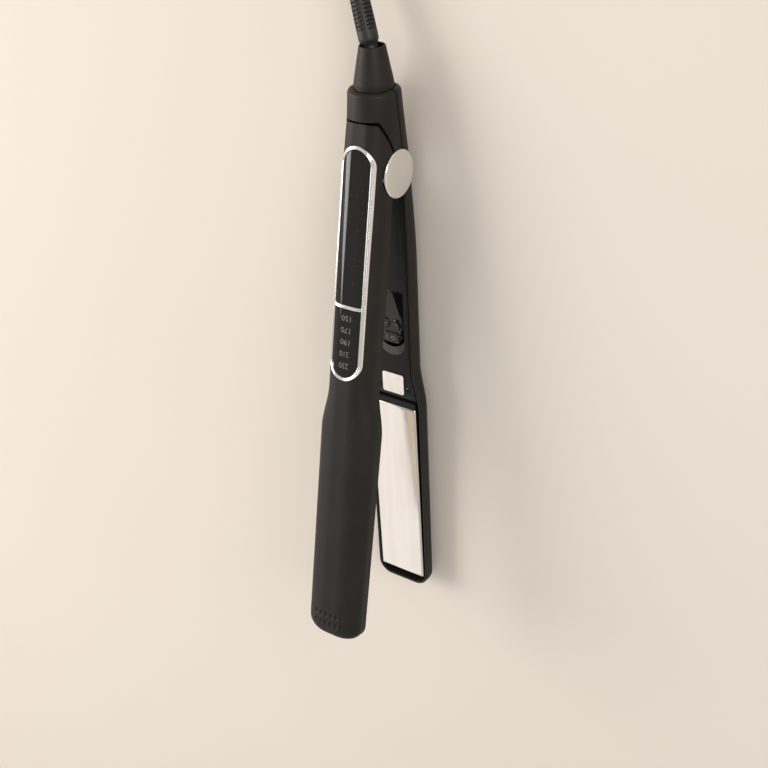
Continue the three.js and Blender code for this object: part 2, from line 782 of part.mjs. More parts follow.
function swivelCone() {
  const wall = coneWall;
  const flangeEnd = collarWallStart - clearance;
  const flangeRadius = coneBaseRadius + 1;
  return turned([
    [flangeStart, coneBaseRadius - 2.2], [flangeStart, flangeRadius], [flangeEnd, flangeRadius],
    [flangeEnd, coneBaseRadius], [collarEnd + 1.4, coneBaseRadius],
    [coneEnd - 1.2, coneMouthRadius + 0.25], [coneEnd - 0.4, coneMouthRadius], [coneEnd, coneMouthRadius - 0.35],
    [coneEnd - 0.2, coneMouthRadius - 0.75], [coneEnd - 1, coneMouthRadius - wall + 0.1],
    [coneEnd - 4, coneMouthRadius - wall + 0.35], [collarEnd + 6, coneBaseRadius - wall - 1.1],
    [collarEnd, coneBaseRadius - wall - 0.6], [flangeStart, coneBaseRadius - 2.2],
  ], 36);
}

function swivelBall() {
  const arc = [];
  const arcSteps = 6;
  for (let i = 0; i <= arcSteps; i += 1) {
    const angle = 0.5 + (i / arcSteps) * (Math.PI - 1.1);
    arc.push([ballCentre - ballRadius * Math.cos(angle), ballRadius * Math.sin(angle)]);
  }
  const stem = [[stemStart, 0], [stemStart, stemRadius], [arc[0][0], stemRadius]];
  return turned([...stem, ...arc, [arc[arcSteps][0], 0]], 24);
}

function contactRing(x) {
  const end = x + contactWidth;
  return turned([[x, contactInner], [x, contactOuter], [end, contactOuter], [end, contactInner], [x, contactInner]], 24);
}

// ---- cord: boot, lead, hank, tie and plug
const bootStart = new THREE.Vector3(54.6, 0.25, -0.1);
const bootWay = new THREE.Vector3(1, 0.326, -0.13).normalize();
const bootNeckRadius = 2.9;

function alongBoot(profile, sides) {
  const geometry = new THREE.LatheGeometry(profile.map(([x, radius]) => new THREE.Vector2(radius, x)), sides);
  geometry.applyQuaternion(new THREE.Quaternion().setFromUnitVectors(new THREE.Vector3(0, 1, 0), bootWay));
  geometry.translate(bootStart.x, bootStart.y, bootStart.z);
  return geometry;
}

function cordBoot() {
  return alongBoot([
    [0, 0], [0, bootNeckRadius], [5.6, bootNeckRadius], [8, bootBaseDiameter / 2],
    [14, bootBaseDiameter / 2], [bootLength, bootEndDiameter / 2], [bootLength, 0],
  ], 28);
}

// The lead from the boot down to the table and into the hank, on its centre line, from the hinge axis
const floor = -crownDepth;
const cordRadius = cordDiameter / 2;
const bootEnd = bootStart.clone().addScaledVector(bootWay, bootLength + clearance);
const leadRoute = [
  [111.5, 18.8, -7.55], [117, 20.5, -8.5], [122.5, 22.1, -10], [128, 23.5, -11.6],
  [134, 24.9, -13.1], [140, 26, -13.95], [145, 26.6, -14.2],
];
const hankX = [134, 302];
const hankStart = 145.6;
const hankHalfWidth = 31.5;
const hankY = -1;
const hankHeight = 21;
const hankLift = 0.3;

function leadTube() {
  const points = [bootEnd, ...leadRoute.map(([x, y, z]) => new THREE.Vector3(x, y, z))];
  return tube(new THREE.CatmullRomCurve3(points), cordRadius, 10, 10);
}

const tieX = 218;
const tieWidth = 14;
const tieThickness = 1.2;
const tieSeat = 1.6;            // how far the tie draws the hank in

function hank() {
  const bottom = floor + hankLift;
  const top = bottom + hankHeight;
  const outer = raised(stadium(hankX[0], hankX[1], hankHalfWidth, hankY), bottom, top, 18);
  const grown = tieSeat;
  const around = cut(
    block(tieX - tieWidth / 2 - 1, tieX + tieWidth / 2 + 1, -60, 60, floor - 1, floor + 60),
    block(tieX - 20, tieX + 20, hankY - hankHalfWidth + grown, hankY + hankHalfWidth - grown,
      bottom + grown, top - grown),
  );
  const entrySide = hankY + hankHalfWidth - 2 * cordDiameter;
  const entry = block(hankX[0] - 1, hankStart, entrySide, 60, floor - 1, floor + cordDiameter + 1);
  return cut(outer, around, entry);
}

function tie() {
  const inner = tieSeat - clearance;
  const y = hankHalfWidth - inner;
  const bottom = floor + 0.3;
  const top = floor + hankLift + hankHeight - inner + tieThickness;
  const half = tieWidth / 2;
  const reach = y + tieThickness;
  const outer = block(tieX - half, tieX + half, hankY - reach, hankY + reach, bottom, top);
  const hole = block(tieX - 20, tieX + 20, hankY - y, hankY + y, bottom + tieThickness - 0.25, top - tieThickness);
  return cut(outer, hole);
}

const plugX = [168, 206];
const plugY = -14;
const plugWidth = 25;
const plugThickness = 14;
const plugFloor = floor + hankLift + hankHeight + 0.35;
const pinLength = 19;
const pinSpacing = 18.6;
const pinRadius = 2;

function plugBody() {
  const shape = new THREE.Shape();
  const half = plugWidth / 2;
  shape.moveTo(plugX[0], plugY - half);
  shape.lineTo(plugX[0] + 18, plugY - half);
  shape.quadraticCurveTo(plugX[1] - 8, plugY - half, plugX[1] - 4, plugY - 5.5);
  shape.lineTo(plugX[1], plugY - 5);
  shape.lineTo(plugX[1], plugY + 5);
  shape.lineTo(plugX[1] - 4, plugY + 5.5);
  shape.quadraticCurveTo(plugX[1] - 8, plugY + half, plugX[0] + 18, plugY + half);
  shape.lineTo(plugX[0], plugY + half);
  return raised(shape, plugFloor, plugFloor + plugThickness);
}

function plugPin(y) {
  const geometry = new THREE.CylinderGeometry(pinRadius, pinRadius, pinLength, 16);
  geometry.rotateZ(Math.PI / 2);
  geometry.translate(plugX[0] - pinLength / 2 - clearance, y, plugFloor + plugThickness / 2);
  return geometry;
}

place(body, "swivel_cone", swivelCone(), "shell");
place(body, "swivel_ball", swivelBall(), "inner");
place(body, "contact_ring_1", contactRing(33), "brass");
place(body, "contact_ring_2", contactRing(36), "brass");
place(body, "cord_boot", cordBoot(), "rubber");
place(body, "cord_lead", leadTube(), "rubber");
place(body, "cord_hank", hank(), "rubber");
place(body, "hank_tie", tie(), "rubber");
place(body, "plug_body", plugBody(), "rubber");
place(body, "plug_pin_left", plugPin(plugY + pinSpacing / 2), "steel");
place(body, "plug_pin_right", plugPin(plugY - pinSpacing / 2), "steel");

export default root;
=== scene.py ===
"""A hair straightener lying open on its lower arm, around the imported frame."""

import json
import math

import bmesh
import bpy
import numpy as np
from mathutils import Matrix, Vector


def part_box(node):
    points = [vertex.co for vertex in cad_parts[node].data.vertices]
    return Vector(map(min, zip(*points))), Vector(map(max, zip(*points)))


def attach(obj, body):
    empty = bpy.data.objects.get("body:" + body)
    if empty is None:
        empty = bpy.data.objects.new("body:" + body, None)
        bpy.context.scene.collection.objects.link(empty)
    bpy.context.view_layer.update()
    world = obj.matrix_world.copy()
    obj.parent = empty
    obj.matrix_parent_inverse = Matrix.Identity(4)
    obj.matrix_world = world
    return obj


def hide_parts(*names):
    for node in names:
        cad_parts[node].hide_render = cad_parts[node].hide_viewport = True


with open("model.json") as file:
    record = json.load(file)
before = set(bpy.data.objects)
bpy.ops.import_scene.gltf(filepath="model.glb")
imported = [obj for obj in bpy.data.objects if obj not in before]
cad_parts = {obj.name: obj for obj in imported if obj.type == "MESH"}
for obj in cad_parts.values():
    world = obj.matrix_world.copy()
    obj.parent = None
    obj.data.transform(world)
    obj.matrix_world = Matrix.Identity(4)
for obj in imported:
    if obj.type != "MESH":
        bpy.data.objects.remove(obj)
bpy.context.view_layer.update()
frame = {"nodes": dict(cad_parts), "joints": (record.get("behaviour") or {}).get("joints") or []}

MM = 0.001


# ---------------------------------------------------------------- sizes, from the frame or the design
def corners(node, origin=0.0):
    """A CAD node's lowest and highest corners, measured from an origin."""
    return [np.array(corner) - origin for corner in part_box(node)]


joints = {joint["name"]: joint for joint in frame["joints"]}
hinge = np.array(joints["arm_hinge"]["pos_m"])
shell_low, shell_high = corners("lower_shell")
cap_low, cap_high = corners("hinge_cap_right")
panel_low, panel_high = corners("control_panel")

# The arms, measured from the hinge axis along the arm
tip_end = hinge[0] - shell_low[0]
crown_depth = hinge[2] - shell_low[2]
collar_end = shell_high[0] - hinge[0]
plate_section_width = shell_high[1] - shell_low[1]
cap_radius = (cap_high[0] - cap_low[0]) / 2
cap_face = -cap_low[1]
cone_end = corners("swivel_cone")[1][0] - hinge[0]
handle_width = 26 * MM
hinge_width = 24.6 * MM
widening_start = 8 * MM
widening_length = 40 * MM
tip_narrowing = 0.9 * MM
shoulder_start = 108 * MM
shoulder_length = 24 * MM
shoulder_end = shoulder_start + shoulder_length
shell_wall = 1.4 * MM
crown_flat = 6 * MM
side_height = 4 * MM
rim_depth = 4 * MM
rim_fall = 1.9 * MM
tip_plan_radius = 8 * MM
tip_crown_radius = 5 * MM
collar_radius = 12.4 * MM
collar_edge = 2 * MM
collar_start = -45 * MM              # where the arm starts to turn into the round collar
collar_growth = 1.7
collar_roundness = 0.98
rim_climb_start = 8 * MM
rim_climb = 0.94
fitting_gap = 0.35 * MM
cap_seat_radius = cap_radius + fitting_gap
plate_slope = 0.0215
plate_tilt = math.atan(plate_slope)
open_tilt = math.radians(13.66) - 2 * plate_tilt
plate_start = 131 * MM
plate_length = 110 * MM
plate_end = plate_start + plate_length
plate_width = 28 * MM
plate_thickness = 1.6 * MM
bezel_x = np.array([-102.2, 13.2]) * MM
bezel_half = 9.5 * MM
bezel_band = 1.9 * MM
bezel_proud = 0.9 * MM
crossbar_x = -64.6 * MM
cover_floor = rim_depth + 0.9 * MM
cord_diameter = 7 * MM
floor_depth = -crown_depth           # the table, below the hinge axis


# ---------------------------------------------------------------- camera
def make_camera():
    """A long lens above the open side, turned so that the arms hang down the picture."""
    azimuth, elevation, roll = (math.radians(angle) for angle in (43.98, 44.27, 126.8))
    distance = 0.68
    aim = Vector((-0.0213, 0.0, 0.0215))
    back = Vector((
        math.sin(azimuth) * math.cos(elevation),
        -math.cos(azimuth) * math.cos(elevation),
        math.sin(elevation),
    ))
    level = Vector((math.cos(azimuth), math.sin(azimuth), 0))
    upright = back.cross(level)
    up = math.cos(roll) * upright + math.sin(roll) * level
    right = math.cos(roll) * level - math.sin(roll) * upright
    data = bpy.data.cameras.new("camera")
    data.sensor_width = 36
    data.lens = 61.96
    data.clip_start = 0.01
    camera = bpy.data.objects.new("camera", data)
    bpy.context.scene.collection.objects.link(camera)
    turn = Matrix((right, up, back)).transposed().to_4x4()
    camera.matrix_world = Matrix.Translation(aim + distance * back) @ turn
    bpy.context.scene.camera = camera


make_camera()


# ---------------------------------------------------------------- meshes from grids of points
def lower(points):
    """Points in the lower arm's terms, from the hinge axis, into the row frame."""
    return np.asarray(points, float) + hinge


def upper(points):
    """The same for the upper arm: turned over about its length, then raised about the hinge axis."""
    x, y, z = np.moveaxis(np.asarray(points, float), -1, 0)
    y, z = -y, -z
    cosine, sine = math.cos(open_tilt), math.sin(open_tilt)
    return np.stack([x * cosine + z * sine, y, z * cosine - x * sine], axis=-1) + hinge


def linked(name, data):
    """A new object in the scene."""
    item = bpy.data.objects.new(name, data)
    bpy.context.scene.collection.objects.link(item)
    return item


def turn_out(mesh, merge=0, sliver=0):
    """Merges doubles, drops slivers and turns the faces outwards."""
    edit = bmesh.new()
    edit.from_mesh(mesh)
    if merge:
        bmesh.ops.remove_doubles(edit, verts=edit.verts, dist=merge)
    if sliver:
        bmesh.ops.dissolve_degenerate(edit, edges=edit.edges, dist=sliver)
    bmesh.ops.recalc_face_normals(edit, faces=edit.faces)
    edit.to_mesh(mesh)
    edit.free()


def mesh_of(name, points, faces, merge=0, sliver=0):
    """A mesh of a grid of points and its faces."""
    mesh = bpy.data.meshes.new(name)
    mesh.from_pydata(np.asarray(points).reshape(-1, 3).tolist(), [], faces)
    turn_out(mesh, merge, sliver)
    return mesh


PLACES = {"lower": lower, "upper": upper}


def add_piece(arm, name, shape, nodes=(), body=None, crease=38):
    """One piece of an arm, its points given in the arm's own terms: doubles merged, faces turned
    outwards, creases above an angle kept sharp. It rides on the arm or on another body."""
    points, faces = shape
    mesh = mesh_of(name, PLACES[arm](points), faces, merge=1e-6, sliver=1e-7)
    mesh.shade_smooth()
    mesh.set_sharp_from_angle(angle=math.radians(crease))
    return settle(linked(name, mesh), body or arm + "_arm", nodes)


def settle(piece, body, nodes=()):
    """Rides a piece on its body and the CAD nodes that it stands for."""
    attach(piece, body)
    if nodes:
        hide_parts(*nodes)
    return piece


def quads(rows, columns, wrap_rows=False, wrap_columns=False):
    """Faces of a grid of points, row by row."""
    row = np.arange(rows if wrap_rows else rows - 1)[:, None]
    column = np.arange(columns if wrap_columns else columns - 1)[None, :]
    next_row, next_column = (row + 1) % rows, (column + 1) % columns
    square = [row * columns + column, row * columns + next_column,
              next_row * columns + next_column, next_row * columns + column]
    return np.stack(np.broadcast_arrays(*square), axis=-1).reshape(-1, 4).tolist()


def closed_loops(loops):
    """Rows of closed loops, skinned, with a flat face over the first and the last loop."""
    rows, columns = loops.shape[:2]
    faces = quads(rows, columns, wrap_columns=True)
    first = list(range(columns))[::-1]
    last = list(range((rows - 1) * columns, rows * columns))
    return loops, faces + [first, last]


def ring_of_loops(loops):
    """Rows of closed loops that come back to the first one, as a hoop does."""
    rows, columns = loops.shape[:2]
    return loops, quads(rows, columns, wrap_rows=True, wrap_columns=True)


def on_axis(loops):
    """Turned loops whose first and last rows lie on the axis, so they close the shape."""
    return loops, quads(*loops.shape[:2], wrap_columns=True)


def walled(outer, inner, bulge=0.0, first_open=False):
    """A wall between two grids of equal size. Along both side edges the wall is closed by a
    flattened round: mix of outer and inner edge, raised by bulge * (1 - |t|^4)^(1/4)."""
    t = np.linspace(-1, 1, 7)[1:-1][None, :, None]
    rise = np.array((0, 0, 1)) * bulge * (1 - np.abs(t) ** 4) ** 0.25

    def edge(a, b):
        return a[:, None] * (1 - t) / 2 + b[:, None] * (1 + t) / 2 + rise

    loops = np.concatenate([
        outer,
        edge(outer[:, -1], inner[:, -1]),
        inner[:, ::-1],
        edge(inner[:, 0], outer[:, 0]),
    ], axis=1)
    rows, columns = loops.shape[:2]
    across = outer.shape[1]
    steps = t.shape[1]
    faces = quads(rows, columns, wrap_columns=True)
    for row in ([0] if first_open else []) + [rows - 1]:
        start = row * columns
        for i in range(across - 1):
            mate = 2 * across + steps - 1 - i
            faces.append([start + i, start + i + 1, start + mate - 1, start + mate])
        faces.append([start + across - 1 + i for i in range(steps + 2)])
        faces.append([start + (2 * across + steps - 1 + i) % columns for i in range(steps + 2)])
    return loops, faces


def circle_angles(sides):
    """Even angles round a circle, the first not repeated."""
    return np.linspace(0, 2 * math.pi, sides, endpoint=False)


def turned(profile, sides, centre=(0, 0, 0), axis=(1, 0, 0)):
    """A closed profile of (distance along the axis, radius) points turned about the axis."""
    along, radius = np.array(profile, float).T
    axis = np.array(axis, float) / np.linalg.norm(axis)
    side = np.cross(axis, (1.0, 0, 0) if abs(axis[2]) > 0.9 else (0, 0, 1.0))
    side /= np.linalg.norm(side)
    other = np.cross(axis, side)
    angle = circle_angles(sides)[None, :, None]
    return (np.array(centre) + along[:, None, None] * axis
            + radius[:, None, None] * (np.cos(angle) * side + np.sin(angle) * other))


def rounded(start, corner, end, radius):
    """Points of an arc that rounds a corner of a profile, turning evenly from side to side."""
    start, corner, end = (np.array(p, float) for p in (start, corner, end))
    into = (start - corner) / np.linalg.norm(start - corner)
    out = (end - corner) / np.linalg.norm(end - corner)
    half = math.acos(np.clip(into @ out, -1, 1)) / 2
    reach = radius / math.tan(half)
    centre = corner + (into + out) / np.linalg.norm(into + out) * radius / math.sin(half)
    a, b = corner + into * reach - centre, corner + out * reach - centre
    whole = math.pi - 2 * half
    t = np.linspace(0, 1, 5)[:, None]
    return centre + (np.sin((1 - t) * whole) * a + np.sin(t * whole) * b) / math.sin(whole)


def rounded_profile(points, radii):
    """A profile with each inner corner rounded by its own radius; radius 0 keeps a corner."""
    out = [np.array([points[0]], float)]
    for i in range(1, len(points) - 1):
        if radii[i - 1] > 0:
            out.append(rounded(points[i - 1], points[i], points[i + 1], radii[i - 1]))
        else:
            out.append(np.array([points[i]], float))
    out.append(np.array([points[-1]], float))
    return np.concatenate(out)


# ---------------------------------------------------------------- the arm's outer form
def smooth(t):
    """0 before 0, 1 after 1, an S between."""
    t = np.clip(t, 0, 1)
    return t * t * (3 - 2 * t)


def half_width(x):
    """Half the arm's width: the handle, then an S out to the plate section, then a slow taper."""
    widening = smooth((-x - widening_start) / widening_length)
    handle = hinge_width / 2 + (handle_width - hinge_width) / 2 * widening
    shoulder = (plate_section_width - handle_width) / 2 * smooth((-x - shoulder_start) / shoulder_length)
    taper = tip_narrowing / 2 * np.maximum(0, -x - shoulder_end) / (tip_end - shoulder_end)
    return handle + shoulder - taper


def collaring(x):
    """How far the collared arm has turned from the handle's form into the round collar."""
    return np.maximum(0, (x - collar_start) / (collar_end - collar_start)) ** collar_growth


def rim(x):
    """Depth of the rim below the hinge axis: level, falling to the tip, climbing along the collar."""
    fall = rim_fall * np.maximum(0, -x - shoulder_start) / (tip_end - shoulder_start)
    climb = rim_climb * np.maximum(0, x - rim_climb_start) / (collar_end - rim_climb_start)
    return rim_depth * (1 - climb) + fall


def section_sizes(x, inset, shallower, collared):
    """Depth, width of the flat crown strip and foot of the straight side at x."""
    turn = collaring(x) if collared else np.zeros_like(x)
    width = half_width(x) - inset
    depth = crown_depth - (crown_depth - collar_radius) * turn - inset - shallower
    roundness = collar_roundness * turn
    flat = (1 - roundness) * np.minimum(crown_flat / 2, width / 3)
    side = (rim(x) + side_height) * (1 - roundness)
    return width, depth, flat, side


def arm_sheet(x, v, top, inset=0.0, narrower=0.0, shallower=0.0, spread=1.0, collared=False):
    """The arm's surface. v runs from -1 to 1, from rim to rim round the crown: a straight side down
    from `top`, a quarter ellipse, and a flat strip along the crown. Where `top` lies below the
    straight side, the ellipse starts lower."""
    x, v = np.broadcast_arrays(x, v)
    width, depth, flat, side = section_sizes(x, inset, shallower, collared)
    width = width - narrower
    side = np.maximum(side, np.minimum(top, side + 1e-5))
    sunk = np.arcsin(np.clip((top - side) / (depth - side), 0, 1))
    a = np.abs(v)
    side_share, flat_share = 0.80, 0.10
    down = np.clip((1 - a) / (1 - side_share), 0, 1)
    angle = sunk + (math.pi / 2 - sunk) * np.clip((side_share - a) / (side_share - flat_share), 0, 1)
    y = np.where(a > flat_share, flat + (width - flat) * np.cos(angle), flat * a / flat_share)
    z = -(top + np.maximum(0, side - top) * down) - (depth - side) * (np.sin(angle) - np.sin(sunk))
    return np.stack([x, y * np.sign(v) * spread, z], axis=-1)


def crown_depth_at(x, y, inset=0.0):
    """Depth of the uncollared arm's surface under a point of its plan."""
    width, depth, flat, side = section_sizes(x, inset, 0.0, False)
    across = np.clip((np.abs(y) - flat) / (width - flat), 0, 1)
    return side + (depth - side) * np.sqrt(1 - across**2)


def tip_rows(inset):
    """Stations of the tip: across the flat end from its middle, then round the plan's corner."""
    plan, crown = tip_plan_radius - inset, tip_crown_radius - inset
    start = inset - tip_end
    spread = np.linspace(0, 1, 10)[:-1]
    angle = np.linspace(0, math.pi / 2, 14)
    x = np.concatenate([np.full(len(spread), start), start + plan * (1 - np.cos(angle))])
    drawn = np.concatenate([np.ones(len(spread)), 1 - np.sin(angle)])
    spread = np.concatenate([spread, np.ones(len(angle))])
    return x, plan * drawn, crown * drawn, spread


def body_stations(end):
    """Stations along the arm, close together at the tip's dimples, the shoulder and the cap's seat."""
    seat = np.sqrt(cap_seat_radius**2 - rim_depth**2)
    dimples_end, around_shoulder = -228 * MM, 6 * MM
    fine, middling, coarse, cap_step = 0.4 * MM, 1 * MM, 4 * MM, 0.6 * MM
    return np.concatenate([
        np.arange(-tip_end + tip_plan_radius + fine, dimples_end, fine),
        np.arange(dimples_end, -shoulder_end - around_shoulder, coarse),
        np.arange(-shoulder_end - around_shoulder, -shoulder_start + around_shoulder, middling),
        np.arange(-shoulder_start + around_shoulder, -seat - middling, 3 * MM),
        -np.cos(np.linspace(0, math.pi, 41)) * seat,
        np.arange(seat + cap_step, end - cap_step / 2, cap_step),
        [end],
    ])


def seat_depth(x):
    """Lower edge of the round seat that a hinge cap lies in."""
    return np.sqrt(np.maximum(0, cap_seat_radius**2 - x**2))


EDGE = 0.35 * MM
ACROSS = np.linspace(-1, 1, 141)[None, :]
dimple_rows_x = np.array([-234, -239]) * MM
dimple_y = (np.arange(6) - 2.5) * 3.2 * MM
dimple_long, dimple_wide, dimple_depth = 1.7 * MM, 0.85 * MM, 0.5 * MM


def dimpled(points):
    """Sinks the two rows of small oval dimples into the crown near the tip."""
    x, y = points[..., 0], points[..., 1]
    for row in dimple_rows_x:
        for place in dimple_y:
            far = ((x - row) / dimple_long) ** 2 + ((y - place) / dimple_wide) ** 2
            points[..., 2] += dimple_depth * smooth(1.6 * (1 - far))
    return points


def shell_grids(top, end, collared, tail):
    """Outer and inner grids of an arm's shell. `tail` lists (x, inset) rows past the last station,
    for the collar's rounded edge, its end face and its bore."""
    grids = []
    for inset, rows in zip((0.0, shell_wall), tail or ((), ())):
        x, narrower, shallower, spread = tip_rows(inset)
        rows = np.reshape(rows, (-1, 2))
        along = np.concatenate([body_stations(end - collar_edge if tail else end), rows[:, 0]])
        count = len(along)
        plain = len(x) + count - len(rows)
        insets = np.concatenate([np.full(plain, inset), rows[:, 1]])[:, None]
        x = np.concatenate([x, along])[:, None]
        narrower, shallower = (np.pad(values, (0, count))[:, None] for values in (narrower, shallower))
        spread = np.pad(spread, (0, count), constant_values=1)[:, None]
        grids.append(arm_sheet(x, ACROSS, top(x) + EDGE, insets, narrower, shallower, spread, collared))
    grids[0] = dimpled(grids[0])
    return grids


cone_bore_radius = 9.75 * MM
collar_face_radius = 12.35 * MM
cone_bore_length = 3.6 * MM
collar_wall_end = 36 * MM


def collar_tail():
    """The collar's end: a round edge, the end face, and the bore back to the wall's inner face."""
    angle = np.linspace(0, math.pi / 2, 8)[1:]
    x = collar_end - collar_edge + collar_edge * np.sin(angle)
    inset = collar_edge * (1 - np.cos(angle))
    bore = collar_face_radius - cone_bore_radius
    outer = [*zip(x, inset), (collar_end, bore), (collar_end - cone_bore_length, bore)]
    step = (bore - shell_wall) / (len(outer) - 3)
    inner = [(collar_wall_end, shell_wall + step * i) for i in range(len(outer) - 2)]
    inner += [(collar_wall_end, bore)] * 2
    return outer, inner


def lower_top(x):
    """The lower shell's edge: the rim, deeper at the cap's seat."""
    return np.maximum(rim(x), seat_depth(x))


def upper_top(x):
    """The upper shell's edge: rim, cap seat, then the slant that clears the hinge cover."""
    slant_x, slant_depth = np.array([-2, 11.8, 23.4]) * MM, np.array([4, 7.3, 15.1]) * MM
    under = np.interp(x, slant_x, slant_depth)
    level = np.maximum(rim_depth + 0 * x, rim(np.minimum(x, 0)))
    return np.maximum(level, np.maximum(seat_depth(x), under))


def shell(arm, grids):
    """An arm's outer shell."""
    return add_piece(arm, "shell_" + arm, walled(*grids, EDGE), [arm + "_shell"])


def hinge_cover():
    """The raised half of the collar. Each column starts on the slant past the cap, and all of them
    end on the collar's rounded edge."""
    seam_gap = 0.6 * MM
    slant_height = np.array([-4, 0, 3.2, 3.9, 9.8]) * MM
    slant_x = np.array([11.4, 12.1, 11.7, 14.0, 27.3]) * MM
    rows = 60

    def top(x):
        return seam_gap - rim(x)

    grids = []
    for inset, tail in zip((0.0, shell_wall), collar_tail()):
        start = np.full(ACROSS.shape, slant_x[-1])
        for _ in range(6):
            height = -arm_sheet(start, ACROSS, top(start) + EDGE, inset, collared=True)[..., 2]
            start = np.interp(height, slant_height, slant_x)
        x = start + (collar_end - collar_edge - start) * np.linspace(0, 1, rows)[:, None]
        tail = np.array(tail)
        x = np.concatenate([x, np.broadcast_to(tail[:, :1], (len(tail), ACROSS.shape[1]))])
        insets = np.concatenate([np.full(rows, inset), tail[:, 1]])[:, None]
        grids.append(arm_sheet(x, ACROSS, top(x) + EDGE, insets, collared=True))
    points, faces = walled(*grids, EDGE, first_open=True)
    raised = points * (1, -1, -1)
    return add_piece("lower", "cover_hinge", (raised, faces), ["hinge_cover"])


# ---------------------------------------------------------------- cord
boot_start = np.array([54.6, 0.25, -0.1]) * MM
boot_way = np.array([1, 0.326, -0.13])
boot_way /= np.linalg.norm(boot_way)
boot_length = 56 * MM
lead_route = [
    (0.1115, 0.0188, -0.00755), (0.117, 0.0205, -0.0085), (0.1225, 0.0221, -0.010),
    (0.128, 0.0235, -0.0116), (0.134, 0.0249, -0.0131), (0.140, 0.026, -0.01395),
    (0.1475, 0.0268, -0.0140),
]
hank_arc_x = np.array([165.5, 270.5]) * MM
hank_y = -1 * MM
hank_turns, points_per_turn = 5.53, 48
outer_turn, inner_turn = 28 * MM, 21 * MM
bottom_turn = floor_depth + 0.3 * MM + cord_diameter / 2
plug_tail = np.array([206, -14, 10.9]) * MM


def hank_points():
    """The hank's turns: a racetrack whose radius and height step from one turn's place to the next.
    Each step is an S over a tenth of a turn, a little earlier in each turn than in the last."""
    t = np.arange(0, hank_turns, 1 / points_per_turn)
    step, places = 0.1, (0.84, 1.77, 2.70, 3.63, 4.56)
    inwards, up, outwards, up_again, inwards_again = (smooth((t - place) / step) for place in places)
    radius = outer_turn - (outer_turn - inner_turn) * (inwards - outwards + inwards_again)
    height = bottom_turn + cord_diameter * (up + up_again)
    middle = (outer_turn + inner_turn) / 2
    run = hank_arc_x[1] - hank_arc_x[0]
    whole = 2 * run + 2 * math.pi * middle
    distance = (t % 1) * whole
    bend = math.pi * middle
    far = np.clip((distance - run) / bend, 0, 1)
    near = np.clip((distance - 2 * run - bend) / bend, 0, 1)
    straight = np.clip(distance, 0, run) - np.clip(distance - run - bend, 0, run)
    angle = math.pi / 2 - math.pi * (far + near)
    x = hank_arc_x[0] + straight + radius * np.cos(angle)
    return np.stack([x, hank_y + radius * np.sin(angle), height], axis=1)


def cord_points():
    """From the boot's root along the boot, down to the table, round the hank and up to the plug."""
    inside = [boot_start + boot_way * boot_length * share for share in np.linspace(0, 1, 8)]
    turns = hank_points()
    share = np.linspace(0, 1, 8)[1:, None]
    sideways = smooth(share)
    rise = turns[-1] + (plug_tail - turns[-1]) * np.hstack([share, sideways, sideways])
    return np.concatenate([inside, lead_route, turns[1:], rise])


def make_cord():
    """The cord as one curve of its own thickness."""
    points = lower(cord_points())
    data = bpy.data.curves.new("cord", "CURVE")
    data.dimensions = "3D"
    data.bevel_depth = 1             # times each point's radius
    data.bevel_resolution = 6
    data.resolution_u = 3
    data.use_fill_caps = True
    spline = data.splines.new("NURBS")
    spline.points.add(len(points) - 1)
    spline.points.foreach_set("co", np.column_stack([points, np.ones(len(points))]).ravel())
    spline.points.foreach_set("radius", np.full(len(points), cord_diameter / 2))
    spline.order_u = 4
    spline.use_endpoint_u = True
    return settle(linked("cord", data), "lower_arm", ["cord_lead", "cord_hank"])


cord = make_cord()


def softened(values, width):
    """A row of values, averaged over a running width."""
    return np.convolve(np.pad(values, width // 2, mode="edge"), np.ones(width) / width, mode="valid")


def cord_boot():
    """The boot: a tapered sleeve, smooth at its root. Past that, four columns of crescent
    slots, deepest in their middle and fading to a plain spine between them."""
    distance = np.linspace(0, 1, 281) * boot_length
    sleeve_at = np.array([0, 4.4, 6.8, 14, 56]) * MM
    sleeve_radius = np.array([2.9, 3.5, 4.7, 4.7, 4.0]) * MM
    radius = softened(np.interp(distance, sleeve_at, sleeve_radius), 7)
    pitch, slot_depth, first_slot, plain_end = 1.8 * MM, 0.9 * MM, 11 * MM, 3 * MM
    slot_edge, slot_steepness, spine_edge, spine_steepness = 0.05, 2.2, 0.25, 2.6
    cut = smooth((np.sin(2 * math.pi * distance / pitch) - slot_edge) * slot_steepness)
    ribbed = smooth((distance - first_slot) / MM) * smooth((boot_length - plain_end - distance) / MM)
    around = circle_angles(72)
    spine_turn = math.radians(36)
    side = smooth((np.abs(np.sin(2 * (around + spine_turn))) - spine_edge) * spine_steepness)
    reach = radius[:, None] - slot_depth * (cut * ribbed)[:, None] * side[None, :]
    across = np.cross(boot_way, (0, 0, 1.0))
    across /= np.linalg.norm(across)
    upright = np.cross(across, boot_way)
    points = (boot_start + distance[:, None, None] * boot_way
              + reach[..., None] * (np.cos(around)[None, :, None] * across
                                    + np.sin(around)[None, :, None] * upright))
    return add_piece("lower", "boot", closed_loops(points), ["cord_boot"])


